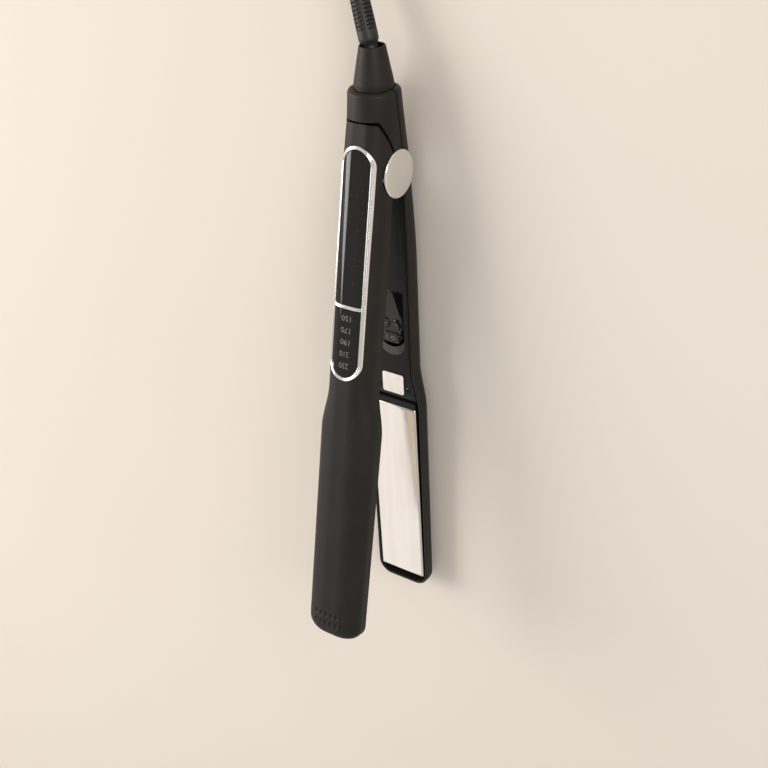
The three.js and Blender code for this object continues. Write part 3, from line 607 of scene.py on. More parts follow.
def plug():
    """The plug's moulded body: superellipse loops from the tail to a flat face, with grip ribs."""
    low, high = corners("plug_body", hinge)
    centre = (low + high) / 2
    share = np.linspace(0, 1, 90)
    inside, rib_depth, edge, power = 0.2 * MM, 0.5 * MM, 1.2 * MM, 0.45
    x = high[0] - inside - (high[0] - low[0] - 2 * inside) * share
    half_y = np.interp(share, [0, 0.12, 0.3, 0.5, 1], np.array([4.8, 5.4, 8.2, 12, 12.3]) * MM)
    half_z = np.interp(share, [0, 0.12, 0.4, 1], np.array([4.6, 5.0, 6.6, 6.8]) * MM)
    for _ in range(3):
        half_y, half_z = softened(half_y, 9), softened(half_z, 9)
    ribs = rib_depth * smooth(np.sin(share * 90) * 2)
    ribs = ribs * smooth((share - 0.5) * 12) * smooth((0.86 - share) * 12)
    ends = np.clip(np.minimum(share * 40, (1 - share) * 40), 0, 1)
    ends = edge * (1 - np.sqrt(1 - (1 - ends) ** 2))
    angle = circle_angles(64)[None, :]
    y = (half_y - ribs - ends)[:, None] * np.sign(np.cos(angle)) * np.abs(np.cos(angle)) ** power
    z = (half_z - ends)[:, None] * np.sign(np.sin(angle)) * np.abs(np.sin(angle)) ** power
    loops = np.stack([np.broadcast_to(x[:, None], y.shape), centre[1] + y, centre[2] + z], axis=-1)
    return add_piece("lower", "plug", closed_loops(loops), ["plug_body"])


def plug_pin(side):
    """A round pin with a sleeved root and a rounded nose."""
    low, high = corners("plug_pin_" + side, hinge)
    centre = (low + high) / 2
    long, radius = high[0] - low[0], (high[2] - low[2]) / 2
    bare, sleeve = long * 0.45, radius * 0.94
    nose = [(radius * (1 - math.cos(a)), radius * math.sin(a)) for a in np.linspace(0, math.pi / 2, 7)[1:]]
    profile = [(0, 0), *nose, (bare, radius), (bare, sleeve), (long, sleeve), (long, 0)]
    loops = turned(profile, 32, (low[0], centre[1], centre[2]))
    return add_piece("lower", "pin_" + side, on_axis(loops), ["plug_pin_" + side])


def hank_tie():
    """A strap round the hank: rounded-rectangle loop, a woven band 1.1 mm thick."""
    low, high = corners("hank_tie", hinge)
    middle = (low + high) / 2
    half = (high - low) / 2
    angle = circle_angles(160)
    flat = 1 / (np.abs(np.cos(angle)) ** 8 + np.abs(np.sin(angle)) ** 8) ** (1 / 8)
    thick, half_band, inside = 1.1 * MM, 6.6 * MM, -5.6 * MM
    section = rounded_profile(
        [(inside, 0), (-half_band, 0), (-half_band, thick), (half_band, thick), (half_band, 0), (inside, 0)],
        [0.4 * MM] * 4,
    )[:-1]
    y = (half[1] - thick + section[None, :, 1]) * (np.cos(angle) * flat)[:, None] + middle[1]
    z = (half[2] - thick + section[None, :, 1]) * (np.sin(angle) * flat)[:, None] + middle[2]
    x = np.broadcast_to(middle[0] + section[None, :, 0], y.shape)
    return add_piece("lower", "tie", ring_of_loops(np.stack([x, y, z], axis=-1)), ["hank_tie"])


boot = cord_boot()
plug_body = plug()
pins = [plug_pin("left"), plug_pin("right")]
tie = hank_tie()

upper_end = 23.1 * MM
shells = [
    shell("lower", shell_grids(lower_top, collar_end, True, collar_tail())),
    shell("upper", shell_grids(upper_top, upper_end, False, None)),
    hinge_cover(),
]


# ---------------------------------------------------------------- inner covers, panel, buttons, label
cover_edge = rim_depth + 0.3 * MM
cover_from, cover_to = -(plate_start - 5 * MM), -14 * MM
cover_border = 2.8 * MM
cover_step = 0.5 * MM
cover_round = 0.45 * MM
cover_thickness = 1.4 * MM
screw_mouth = -cover_edge + 0.5 * MM
screw_at = np.array([[-121, 9], [-121, -9]]) * MM
screw_profile = np.array([(0, 0), (0, 2.1), (1.15, 2.1), (1.15, 1.2), (9, 1.2), (9, 0)]) * MM


def drilled(piece, cutters):
    """A piece with the cutters cut out of it for good."""
    for cutting in cutters:
        change = piece.modifiers.new("drill", "BOOLEAN")
        change.operation = "DIFFERENCE"
        change.solver = "EXACT"
        change.object = cutting
    bpy.context.view_layer.update()
    shaped = piece.evaluated_get(bpy.context.evaluated_depsgraph_get())
    mesh = bpy.data.meshes.new_from_object(shaped)
    piece.modifiers.clear()
    whole, piece.data = piece.data, mesh
    for spare in [whole] + [cutting.data for cutting in cutters]:
        bpy.data.meshes.remove(spare)
    mesh.set_sharp_from_angle(angle=math.radians(30))
    return piece


def cutter(arm, shape):
    """A loose object to drill with."""
    points, faces = shape
    return linked("cutter", mesh_of("cutter", PLACES[arm](points), faces))


def inner_cover(arm):
    """A tray inside the rim: a raised border band, a soft step, and a sunk floor between."""
    x = np.linspace(cover_from, cover_to, 170)[:, None]
    half = half_width(x) - shell_wall - cover_round
    y = half * np.sin(ACROSS * math.pi / 2)
    from_side = half - np.abs(y)
    sunk = smooth((from_side - cover_border) / cover_step)
    for from_end in (x - cover_from, cover_to - x):
        sunk = sunk * smooth((from_end - 2 * cover_step) / cover_step)
    round_edge = cover_round * (1 - np.sqrt(1 - (1 - np.clip(from_side / cover_round, 0, 1)) ** 2))
    z = -cover_edge - (cover_floor - cover_edge) * sunk - round_edge
    x = np.broadcast_to(x, y.shape)
    bottom = np.stack([x, y, np.full_like(y, -cover_floor - cover_thickness)], axis=-1)
    tray = walled(np.stack([x, y, z], axis=-1), bottom, first_open=True)
    piece = add_piece(arm, "cover_" + arm, tray, [arm + "_inner_cover"])
    holes = [turned(screw_profile, 40, (*at, screw_mouth), (0, 0, -1)) for at in screw_at]
    return drilled(piece, [cutter(arm, on_axis(hole)) for hole in holes])


def cover_screw(arm, index):
    """A pan-head screw with a cross recess: the head's dome sinks along two crossed bars.
    The dome is dome_height * (1 - (r / dome_radius)^2.5)."""
    sides, head, dome_radius, dome_height = 64, 1.75 * MM, 1.9 * MM, 0.55 * MM
    bar, reach, recess, foot_depth = 0.28 * MM, 1.05 * MM, 0.45 * MM, 0.45 * MM
    at = screw_at[index - 1]
    radius = np.linspace(0, head, 16)[:, None]
    angle = circle_angles(sides)[None, :]
    x, y = radius * np.cos(angle), radius * np.sin(angle)
    bars = np.minimum(np.abs(x), np.abs(y)) < bar
    inside = np.maximum(np.abs(x), np.abs(y)) < reach
    z = dome_height * (1 - (radius / dome_radius) ** 2.5) - recess * (bars & inside)
    top = np.stack([x + at[0], y + at[1], z - cover_floor - 0.25 * MM], axis=-1)
    foot = top[-1:] * (1, 1, 0) + (0, 0, -cover_floor - foot_depth)
    loops, faces = on_axis(np.concatenate([top, foot]))
    count = len(loops) * sides
    whole = loops, faces + [list(range(count - sides, count))]
    return add_piece(arm, f"screw_{arm}_{index}", whole, [f"{arm}_cover_screw_{index}"])


def slab(outline, bottom, top, edge, steps=5):
    """A flat slab over a closed plan outline, its upper edge rounded by `edge`."""
    outline = np.asarray(outline)
    after, before = np.roll(outline, -1, axis=0), np.roll(outline, 1, axis=0)
    ahead = after - before
    inwards = np.stack([-ahead[:, 1], ahead[:, 0]], axis=1)
    inwards /= np.linalg.norm(inwards, axis=1, keepdims=True)
    inwards *= np.sign(np.sum(outline[:, 0] * after[:, 1] - after[:, 0] * outline[:, 1]))
    loops = [np.column_stack([outline, np.full(len(outline), bottom)])]
    for a in np.linspace(0, math.pi / 2, steps):
        plan = outline + inwards * edge * (1 - math.cos(a))
        loops.append(np.column_stack([plan, np.full(len(plan), top - edge + edge * math.sin(a))]))
    return closed_loops(np.array(loops))


def arc_points(centre, radius, start, end, count=24):
    """Points of an arc, its angles in degrees."""
    angle = np.radians(np.linspace(start, end, count))[:, None]
    return np.array(centre) + radius * np.concatenate([np.cos(angle), np.sin(angle)], axis=1)


panel_top = panel_high[2] - hinge[2]
panel_x = np.array([panel_low[0], panel_high[0]]) - hinge[0]
panel_half = panel_high[1]


def arched(x0, x1, half):
    """A plan outline: square at x1, a half-round arch at x0."""
    return np.concatenate([[(x1, -half), (x1, half)], arc_points((x0 + half, 0), half, 90, 270, 60)])


def pill(x, y, half_long, half_wide):
    """A plan outline with round ends, its long side across the arm."""
    reach = half_long - half_wide
    return np.concatenate([
        arc_points((x, y + reach), half_wide, 0, 180),
        arc_points((x, y - reach), half_wide, 180, 360),
    ])


# The middle, half length and half width of each key, in millimetres from the hinge axis
KEYS = {"power": (-91.8, 0, 6, 3), "minus": (-84, -3.6, 2.9, 2.9), "plus": (-84, 3.6, 2.9, 2.9)}
key_top = panel_top + 0.5 * MM
key_gap = 0.3


def key_outline(key, grown=0):
    """A key's plan outline, grown by some millimetres."""
    x, y, long, wide = KEYS[key]
    return pill(x * MM, y * MM, (long + grown) * MM, (wide + grown) * MM)


def control_panel():
    """The glossy arched panel, with a hole round each key."""
    thickness, edge = 1.2 * MM, 0.25 * MM
    plate = slab(arched(*panel_x, panel_half), panel_top - thickness, panel_top, edge)
    piece = add_piece("lower", "panel", plate, ["control_panel"])
    under, over, sharp = panel_top - 3 * MM, panel_top + 1 * MM, 0.01 * MM
    holes = [slab(key_outline(key, key_gap), under, over, sharp, 2) for key in KEYS]
    return drilled(piece, [cutter("lower", hole) for hole in holes])


def button(key):
    """A glossy key with a softly rounded rim on a short stem."""
    node, stem, edge = key + "_button", 1.1 * MM, 0.45 * MM
    shape = slab(key_outline(key), panel_top - stem, key_top, edge, 7)
    return add_piece("lower", key + "_key", shape, [node], node)


# A mark on a key: how far it goes into the key, stands out of it, and is rounded
mark_sunk, mark_proud, mark_edge = 0.1 * MM, 0.05 * MM, 0.03 * MM
mark_half, mark_reach = 0.2, 1.2


def key_mark(key, index, shape):
    """A thin raised mark printed on a key's top."""
    return add_piece("lower", f"{key}_mark_{index}", shape, body=key + "_button")


def flat_mark(key, outline):
    """A key's first mark, with this plan outline."""
    return key_mark(key, 1, slab(outline, key_top - mark_sunk, key_top + mark_proud, mark_edge, 3))


def stroke(x, y, half_x, half_y):
    """A rectangular plan outline, in millimetres."""
    signs = np.array([(-1, -1), (1, -1), (1, 1), (-1, 1)])
    return (np.array([x, y]) + signs * (half_x, half_y)) * MM


def cross(x, y, thin, reach):
    """A plus sign's plan outline, in millimetres."""
    arm = np.array([(reach, -thin), (reach, thin), (thin, thin)])
    quarters = [arm @ np.array([[c, s], [-s, c]]) for c, s in ((1, 0), (0, 1), (-1, 0), (0, -1))]
    return (np.concatenate(quarters) + (x, y)) * MM


def key_marks():
    """A bar and a ring on the power key, a bar on the minus key, a cross on the plus key."""
    power_x = KEYS["power"][0]
    outer, inner = 1.1 * MM, 0.75 * MM
    section = [(-mark_sunk, outer), (mark_proud, outer), (mark_proud, inner), (-mark_sunk, inner)]
    circle = turned(section, 40, (power_x * MM, -1.2 * MM, key_top), (0, 0, 1))
    return [
        flat_mark("power", stroke(power_x, 2.6, mark_reach, mark_half)),
        key_mark("power", 2, ring_of_loops(circle)),
        flat_mark("minus", stroke(*KEYS["minus"][:2], mark_half, mark_reach)),
        flat_mark("plus", cross(*KEYS["plus"][:2], mark_half, mark_reach)),
    ]


def finger_scoop():
    """A shallow dished rest between the panel's arch and the label: a crescent slab."""
    radius, gap = 8.6 * MM, 0.5 * MM
    x0 = panel_x[0] - 5.5 * MM
    outer = arc_points((x0 + radius, 0), radius, 108, 252, 50)
    inside = arc_points((panel_x[0] + panel_half, 0), panel_half + gap, 246, 114, 50)
    bottom, top = -cover_floor - 0.4 * MM, -cover_floor + 0.12 * MM
    return add_piece("lower", "scoop", slab(np.concatenate([outer, inside]), bottom, top, 0.1 * MM))


def rating_label():
    """The pale film label, its corners rounded."""
    low, high = corners("blank_label", hinge)
    radius = 1 * MM
    x, y = (low[0] + radius, high[0] - radius), (low[1] + radius, high[1] - radius)
    middles = [(x[1], y[1]), (x[0], y[1]), (x[0], y[0]), (x[1], y[0])]
    outline = [arc_points(middle, radius, 90 * i, 90 * i + 90, 8) for i, middle in enumerate(middles)]
    film = slab(np.concatenate(outline), low[2], high[2], 0.08 * MM)
    return add_piece("lower", "label", film, ["blank_label"])


# ---------------------------------------------------------------- plates
def along_plate(points):
    """Points in the plate's terms, tilted by the plate's slope, into the arm's terms."""
    x, y, z = np.moveaxis(points, -1, 0)
    cosine, sine = math.cos(plate_tilt), math.sin(plate_tilt)
    return np.stack([x * cosine - z * sine, y, z * cosine + x * sine], axis=-1)


def heating_plate(arm):
    """The plate: flat, its long edges rolled down, its ends softly rounded."""
    side, top = plate_width / 2, -0.15 * MM
    under = top - plate_thickness
    half = rounded_profile([(0, under), (side, under), (side, top), (0, top)], [0.25 * MM, 1.1 * MM])
    section = np.concatenate([half, half[::-1][1:-1] * (-1, 1)])
    end_round, rows = 0.6 * MM, 12
    ends = np.array([0, 0.12, 0.35, 0.6]) * MM
    drawn = end_round - np.sqrt(np.maximum(0, end_round**2 - (end_round - ends) ** 2))
    even = np.linspace(-plate_end + 2 * MM, -plate_start - 2 * MM, rows)
    x = np.concatenate([-plate_end + ends, even, (-plate_start - ends)[::-1]])
    inset = np.concatenate([drawn, np.zeros(rows), drawn[::-1]])
    middle = np.array([0, (top + under) / 2])
    scale = 1 - inset[:, None, None] / np.array([side, plate_thickness / 2])
    yz = middle + (section - middle)[None] * scale
    loops = np.concatenate([np.broadcast_to(x[:, None, None], (*yz.shape[:2], 1)), yz], axis=-1)
    node = arm + "_plate"
    return add_piece(arm, "plate_" + arm, closed_loops(along_plate(loops)), [node], node + "_float")


# ---------------------------------------------------------------- bezel, panels and numerals
def crown_point(x, y, lift):
    """A point of the arm's outer crown over (x, y), lifted off the surface."""
    return np.stack([x, y, -(crown_depth_at(x, y, -lift))], axis=-1)


def racetrack(x0, x1, half, inset):
    """A closed plan outline with round ends, drawn in by `inset`."""
    radius = half - inset
    near = arc_points((x1 - half, 0), radius, -90, 90, 72)
    far = arc_points((x0 + half, 0), radius, 90, 270, 72)
    share = np.linspace(0, 1, 60)[1:-1, None]
    top = near[-1] + (far[0] - near[-1]) * share
    bottom = far[-1] + (near[0] - far[-1]) * share
    return np.concatenate([near, top, far, bottom])


def band_profile():
    """(share across the band, lift) round a trim's cross section: a crowned top with a
    soft groove along its middle, over two walls that go down into the shell."""
    t = np.linspace(-1, 1, 24)
    groove = 1 - 0.3 * np.exp(-(t / 0.26) ** 2)
    lift = bezel_proud * (1 - np.abs(t) ** 3.2) ** (1 / 2.4) * groove
    wall, foot = -0.5 * MM, -0.8 * MM
    return (np.concatenate([[0, *(0.5 + 0.5 * t), 1, 0.9, 0.1]]),
            np.concatenate([[wall], lift, [wall, foot, foot]]))


def bezel_ring():
    """The long trim: its cross section carried round a racetrack on the crown."""
    rings = []
    for share, lift in zip(*band_profile()):
        plan = racetrack(*bezel_x, bezel_half, share * bezel_band)
        rings.append(crown_point(plan[:, 0], plan[:, 1], lift))
    hoop = ring_of_loops(np.stack(rings, axis=1))
    return add_piece("upper", "bezel_ring", hoop, ["bezel"], crease=60)


def bezel_crossbar():
    """The bar across the trim: the same cross section, a little lower."""
    share, lift = band_profile()
    x = crossbar_x + (share - 0.5) * bezel_band
    places = np.linspace(-1, 1, 40) * (bezel_half - 0.6 * bezel_band)
    rows = [crown_point(x, np.full_like(x, y), lift * 0.9) for y in places]
    return add_piece("upper", "bezel_crossbar", closed_loops(np.array(rows)), crease=60)


window_edge = bezel_band - 0.4 * MM


def window(name, x0, x1, node):
    """A glossy pane inside the ring, following the crown, its outline the ring's inner edge."""
    half = bezel_half - window_edge
    low, high = bezel_x[0] + window_edge, bezel_x[1] - window_edge
    lift, depth = 0.12 * MM, 1.1 * MM
    u = 0.5 - 0.5 * np.cos(np.linspace(0, math.pi, 120))
    x = (x0 + (x1 - x0) * u)[:, None]
    past = np.maximum(0, np.maximum(low + half - x, x - high + half))
    y = np.sqrt(np.maximum(0, half**2 - past**2)) * np.linspace(-1, 1, 61)[None, :]
    x = np.broadcast_to(x, y.shape)
    pane = walled(crown_point(x, y, lift), crown_point(x, y, -depth), first_open=True)
    return add_piece("upper", name, pane, [node])


number_size = np.array([5.4, 2.8, 0.03]) * MM
number_lift = 0.13 * MM
number_shift = 0.3 * MM


def printed_number(number, x):
    """A number printed on the display's crown strip, its top towards the tips."""
    data = bpy.data.curves.new("digits", "FONT")
    data.body = str(number)
    data.align_x, data.align_y = "CENTER", "CENTER"
    data.extrude = 0.5
    letters = bpy.data.objects.new("digits", data)
    mesh = bpy.data.meshes.new_from_object(letters)
    bpy.data.objects.remove(letters)
    points = np.empty(len(mesh.vertices) * 3)
    mesh.vertices.foreach_get("co", points)
    points = points.reshape(-1, 3)
    low, high = points.min(axis=0), points.max(axis=0)
    across, tall, thick = ((points - (high + low) / 2) / (high - low) * number_size).T
    placed = np.stack([x - tall, -(across + number_shift), -crown_depth - number_lift - thick], axis=-1)
    mesh.vertices.foreach_set("co", upper(placed).ravel())
    turn_out(mesh, merge=1e-7)
    return settle(linked(f"number_{number}", mesh), "upper_arm")


# ---------------------------------------------------------------- hinge caps and swivel cone
def hinge_cap(side, way):
    """A turned disc: a barely domed face, a rounded rim, and a spigot behind."""
    back = cap_face - 1.2 * MM
    spigot, spigot_end = 2.6 * MM, back - 0.9 * MM
    profile = rounded_profile(
        [(cap_face, 0), (cap_face - 0.1 * MM, 0.6 * cap_radius), (cap_face - 0.3 * MM, cap_radius),
         (back, cap_radius), (back, spigot), (spigot_end, spigot), (spigot_end, 0)],
        [60 * MM, 0.5 * MM, 0.15 * MM, 0, 0],
    )
    disc = on_axis(turned(profile, 128, axis=(0, way, 0)))
    return add_piece("lower", "cap_" + side, disc, ["hinge_cap_" + side])


def swivel_cone():
    """A turned cone with a soft shoulder at the collar and a rolled mouth."""
    base, mouth = 9.4 * MM, 6.2 * MM
    flange, flange_start, flange_end = 10.4 * MM, 31 * MM, 35.6 * MM
    root = (flange_start, 7.2 * MM)
    profile = rounded_profile(
        [root, (flange_start, flange), (flange_end, flange), (flange_end, base), (42.4 * MM, base),
         (cone_end, mouth), (cone_end, mouth - 0.9 * MM), (55 * MM, mouth - 0.5 * MM),
         (46 * MM, 7.5 * MM), (40 * MM, 8 * MM), root],
        np.array([0.3, 0.3, 0, 2.5, 0.4, 0.3, 0, 0, 0]) * MM,
    )[:-1]
    return add_piece("lower", "cone", ring_of_loops(turned(profile, 96)), ["swivel_cone"])


covers = [inner_cover(arm) for arm in PLACES]
screws = [cover_screw(arm, index) for arm in PLACES for index in (1, 2)]
panel = control_panel()
keys = [button(key) for key in KEYS]
marks = key_marks()
scoop = finger_scoop()
label = rating_label()
plates = [heating_plate(arm) for arm in PLACES]
trims = [bezel_ring(), bezel_crossbar()]
panes = [window("pane_long", crossbar_x, bezel_x[1] - window_edge, "label_panel"),
         window("pane_display", bezel_x[0] + window_edge, crossbar_x, "display_lens")]


numbers = [printed_number(150 + 20 * i, (-70.3 - 6.05 * i) * MM) for i in range(5)]
caps = [hinge_cap("left", 1), hinge_cap("right", -1)]
cone = swivel_cone()


# ---------------------------------------------------------------- finishes
class Flow:
    """A value that flows through a finish's nodes; arithmetic on it adds Math nodes."""

    def __init__(self, finish, socket):
        self.finish = finish
        self.socket = socket

    def _maths(self, operation, first, second):
        return self.finish.node("ShaderNodeMath", {"operation": operation}, [first, second])

    def __add__(self, other):
        return self._maths("ADD", self, other)

    __radd__ = __add__

    def __sub__(self, other):
        return self._maths("SUBTRACT", self, other)

    def __rsub__(self, other):
        return self._maths("SUBTRACT", other, self)

    def __mul__(self, other):
        return self._maths("MULTIPLY", self, other)

    __rmul__ = __mul__


class Finish:
    """One material: a Principled surface and the nodes that feed it, in the object's own coordinates."""

    def __init__(self, name, colour, roughness, metallic=0.0, coat=0.0, specular=0.5):
        self.material = bpy.data.materials.new(name)
        self.material.use_nodes = True
        self.tree = self.material.node_tree
        self.shader = next(n for n in self.tree.nodes if n.type == "BSDF_PRINCIPLED")
        self.set("Base Color", (*colour, 1))
        self.set("Roughness", roughness)
        self.set("Metallic", metallic)
        self.set("Coat Weight", coat)
        self.set("Specular IOR Level", specular)
        self.material.diffuse_color = (*colour, 1)
        place = self.tree.nodes.new("ShaderNodeTexCoord")
        self.place = Flow(self, place.outputs["Object"])

    def set(self, socket, value):
        """Sets one of the shader's own sockets, or links it."""
        self._feed(self.shader.inputs[socket], value)

    def _feed(self, socket, value):
        if isinstance(value, Flow):
            self.tree.links.new(value.socket, socket)
        else:
            socket.default_value = value

    def node(self, kind, settings, inputs, output=0):
        """Adds a node: its settings first, then the values or links of its sockets, by number or
        by name."""
        node = self.tree.nodes.new(kind)
        for key, value in settings.items():
            setattr(node, key, value)
        for key, value in (inputs.items() if isinstance(inputs, dict) else enumerate(inputs)):
            self._feed(node.inputs[key], value)
        return Flow(self, node.outputs[output])

    def stretched(self, scale):
        """The object's coordinates, scaled axis by axis."""
        return self.node("ShaderNodeMapping", {}, {"Vector": self.place, "Scale": scale})

    def noise(self, per_metre, detail=3.0, rough=0.5, place=None):
        """Soft noise from 0 to 1, `per_metre` times a metre."""
        return self.node("ShaderNodeTexNoise", {}, {
            "Vector": place or self.place, "Scale": per_metre, "Detail": detail, "Roughness": rough,
        })

    def ramp(self, value, low, high):
        """`value` from low to high, mapped to 0 to 1 and held outside."""
        limits = {"Value": value, "From Min": low, "From Max": high}
        return self.node("ShaderNodeMapRange", {"clamp": True}, limits)

    def patches(self, per_metre, detail, rough, low, high, place=None):
        """The share, from 0 to 1, that noise has risen from `low` to `high`."""
        return self.ramp(self.noise(per_metre, detail, rough, place), low, high)

    def blend(self, share, first, second):
        """A colour between two colours."""
        first, second = ((*c, 1) if isinstance(c, tuple) else c for c in (first, second))
        colours = {"Factor": share, 6: first, 7: second}
        return self.node("ShaderNodeMix", {"data_type": "RGBA"}, colours, 2)

    def made(self, colour, roughness, height=None, distance=0.0, strength=1.0):
        """Feeds the colour, the roughness and a relief that a height from 0 to 1 makes,
        `distance` metres deep, and gives the material."""
        self.set("Base Color", colour)
        self.set("Roughness", roughness)
        if height:
            self.set("Normal", self.node("ShaderNodeBump", {}, {
                "Height": height, "Distance": distance, "Strength": strength,
            }))
        return self.material


def soft_touch():
    """Soft-touch black: fine sprayed grain, cloudy handling marks, a little settled dust."""
    finish = Finish("soft_touch_black", (0.011, 0.0095, 0.0085), 0.5, specular=0.27)
    grain = finish.noise(5200, 2)
    dust = finish.patches(1500, 2, 0.6, 0.70, 0.76)
    handled = finish.patches(45, 4, 0.6, 0.35, 0.68)
    tone = finish.blend(handled, (0.0088, 0.0072, 0.0058), (0.0138, 0.0113, 0.0092))
    tone = finish.blend(dust * 0.3, tone, (0.08, 0.07, 0.062))
    return finish.made(tone, 0.44 + handled * 0.10 + grain * 0.08, grain, 0.00002, 0.5)


def fine_matt():
    """The inner covers' moulded black: a coarser spark grain and rubbed patches."""
    finish = Finish("moulded_matt_black", (0.007, 0.0065, 0.006), 0.5, specular=0.25)
    grain = finish.noise(3400, 3, 0.6)
    rubbed = finish.patches(70, 3, 0.5, 0.4, 0.7)
    tone = finish.blend(rubbed, (0.005, 0.0046, 0.0042), (0.0085, 0.0078, 0.007))
    return finish.made(tone, 0.42 + rubbed * 0.12 + grain * 0.1, grain, 0.00004, 0.7)


def piano_black():
    """Polished black plastic: faint wipe haze, hairline scratches and a few dust specks."""
    finish = Finish("polished_black", (0.004, 0.0038, 0.0037), 0.06, coat=0.2, specular=0.36)
    finish.set("Coat Roughness", 0.03)
    haze = finish.patches(60, 4, 0.6, 0.4, 0.75)
    hairline = finish.patches(900, 2, 0.5, 0.66, 0.72, finish.stretched((0.06, 1, 1)))
    dust = finish.patches(1700, 1, 0.5, 0.74, 0.78)
    tone = finish.blend(dust * 0.5, (0.004, 0.0038, 0.0037), (0.16, 0.155, 0.15))
    roughness = 0.05 + haze * 0.08 + hairline * 0.12 + dust * 0.3
    return finish.made(tone, roughness, hairline, 0.000003, 0.4)


def mirror_chrome():
    """Plated trim: near mirror, with thin cloudy smudges and rare pin specks."""
    finish = Finish("mirror_chrome", (0.93, 0.915, 0.895), 0.05, metallic=1.0)
    smudge = finish.patches(110, 4, 0.65, 0.5, 0.8)
    specks = finish.patches(2100, 1, 0.5, 0.76, 0.79)
    tone = finish.blend(specks * 0.4, (0.93, 0.915, 0.895), (0.5, 0.48, 0.45))
    return finish.made(tone, 0.035 + smudge * 0.09 + specks * 0.2, finish.noise(260, 2), 0.000002, 0.15)


def plate_coating():
    """The plates' champagne coating: a fine lengthwise lapping, hair-rubbed lanes and soft smears."""
    finish = Finish("champagne_coating", (0.86, 0.81, 0.76), 0.16, metallic=1.0)
    lapping = finish.noise(1500, 3, 0.6, finish.stretched((0.02, 1, 1)))
    lanes = finish.patches(260, 2, 0.5, 0.42, 0.7, finish.stretched((0.08, 1, 1)))
    smears = finish.patches(38, 4, 0.6, 0.45, 0.75)
    tone = finish.blend(lanes, (0.86, 0.815, 0.77), (0.83, 0.78, 0.73))
    roughness = 0.14 + smears * 0.06 + lanes * 0.02 + lapping * 0.04
    return finish.made(tone, roughness, lapping, 0.0000012, 0.25)


def satin_steel():
    """Stamped and drawn steel: a long grain, darker in its pits."""
    finish = Finish("satin_steel", (0.55, 0.55, 0.54), 0.32, metallic=1.0)
    grain = finish.noise(2400, 3, 0.6, finish.stretched((0.1, 1, 1)))
    patina = finish.patches(160, 4, 0.5, 0.35, 0.7)
    tone = finish.blend(patina, (0.47, 0.465, 0.45), (0.63, 0.625, 0.61))
    return finish.made(tone, 0.26 + grain * 0.18, grain, 0.000008, 0.5)


def blackened_steel():
    """The screws' black oxide: rubbed through to the steel here and there."""
    finish = Finish("blackened_steel", (0.05, 0.048, 0.046), 0.4, metallic=1.0)
    rubbed = finish.patches(1300, 3, 0.6, 0.55, 0.75)
    tone = finish.blend(rubbed, (0.045, 0.043, 0.041), (0.2, 0.195, 0.19))
    return finish.made(tone, 0.42 - rubbed * 0.12, rubbed, 0.000006, 0.4)


def satin_brown():
    """The finger rest's satin plastic: its brown-grey tone is a painted highlight, and its mottle is wear
    where fingers slide over it.
    """
    # The brown-grey colours of this finish are a painted highlight, not the plastic's own colour.
    finish = Finish("satin_brown_grey", (0.04, 0.034, 0.029), 0.3, specular=0.5)
    mottle = finish.patches(320, 4, 0.6, 0.4, 0.7)
    tone = finish.blend(mottle, (0.036, 0.03, 0.026), (0.052, 0.044, 0.038))
    return finish.made(tone, 0.26 + mottle * 0.12, finish.noise(3000, 2), 0.000006, 0.4)


def turned_brass():
    """Turned brass: a grain round its axis, tarnished in patches."""
    finish = Finish("turned_brass", (0.62, 0.45, 0.19), 0.28, metallic=1.0)
    grain = finish.noise(1900, 3, 0.6, finish.stretched((1, 0.1, 0.1)))
    tarnish = finish.patches(240, 4, 0.5, 0.45, 0.75)
    tone = finish.blend(tarnish, (0.66, 0.49, 0.22), (0.42, 0.28, 0.12))
    return finish.made(tone, 0.22 + grain * 0.16 + tarnish * 0.1, grain, 0.000006, 0.5)


def white_ceramic():
    """The heaters' fired ceramic: chalky, with scorched patches."""
    finish = Finish("heater_ceramic", (0.78, 0.75, 0.69), 0.62)
    scorch = finish.patches(90, 4, 0.6, 0.5, 0.8)
    grain = finish.noise(2600, 3)
    tone = finish.blend(scorch, (0.8, 0.77, 0.71), (0.55, 0.47, 0.37))
    return finish.made(tone, 0.55 + grain * 0.2, grain, 0.00003, 0.5)


def cord_rubber():
    """Dull moulded rubber: a mealy surface and pale handling bloom."""
    finish = Finish("cord_rubber", (0.013, 0.013, 0.0135), 0.5, specular=0.4)
    bloom = finish.patches(130, 4, 0.6, 0.45, 0.75)
    grain = finish.noise(2800, 3, 0.6)
    tone = finish.blend(bloom, (0.0105, 0.0105, 0.011), (0.024, 0.023, 0.0225))
    return finish.made(tone, 0.4 + bloom * 0.14 + grain * 0.08, grain, 0.00003, 0.5)


def strap_weave():
    """The tie's woven band: a fine twill with a fuzzed top."""
    finish = Finish("strap_weave", (0.014, 0.014, 0.015), 0.85, specular=0.3)
    threads = finish.node("ShaderNodeTexWave", {"wave_type": "BANDS", "bands_direction": "DIAGONAL"}, {
        "Vector": finish.place, "Scale": 420.0, "Distortion": 1.5, "Detail": 2.0,
    }, 1)
    fuzz = finish.noise(3600, 3, 0.7)
    tone = finish.blend(threads, (0.009, 0.009, 0.0095), (0.028, 0.028, 0.03))
    return finish.made(tone, 0.75 + fuzz * 0.2, threads * 0.7 + fuzz * 0.3, 0.00015, 0.8)


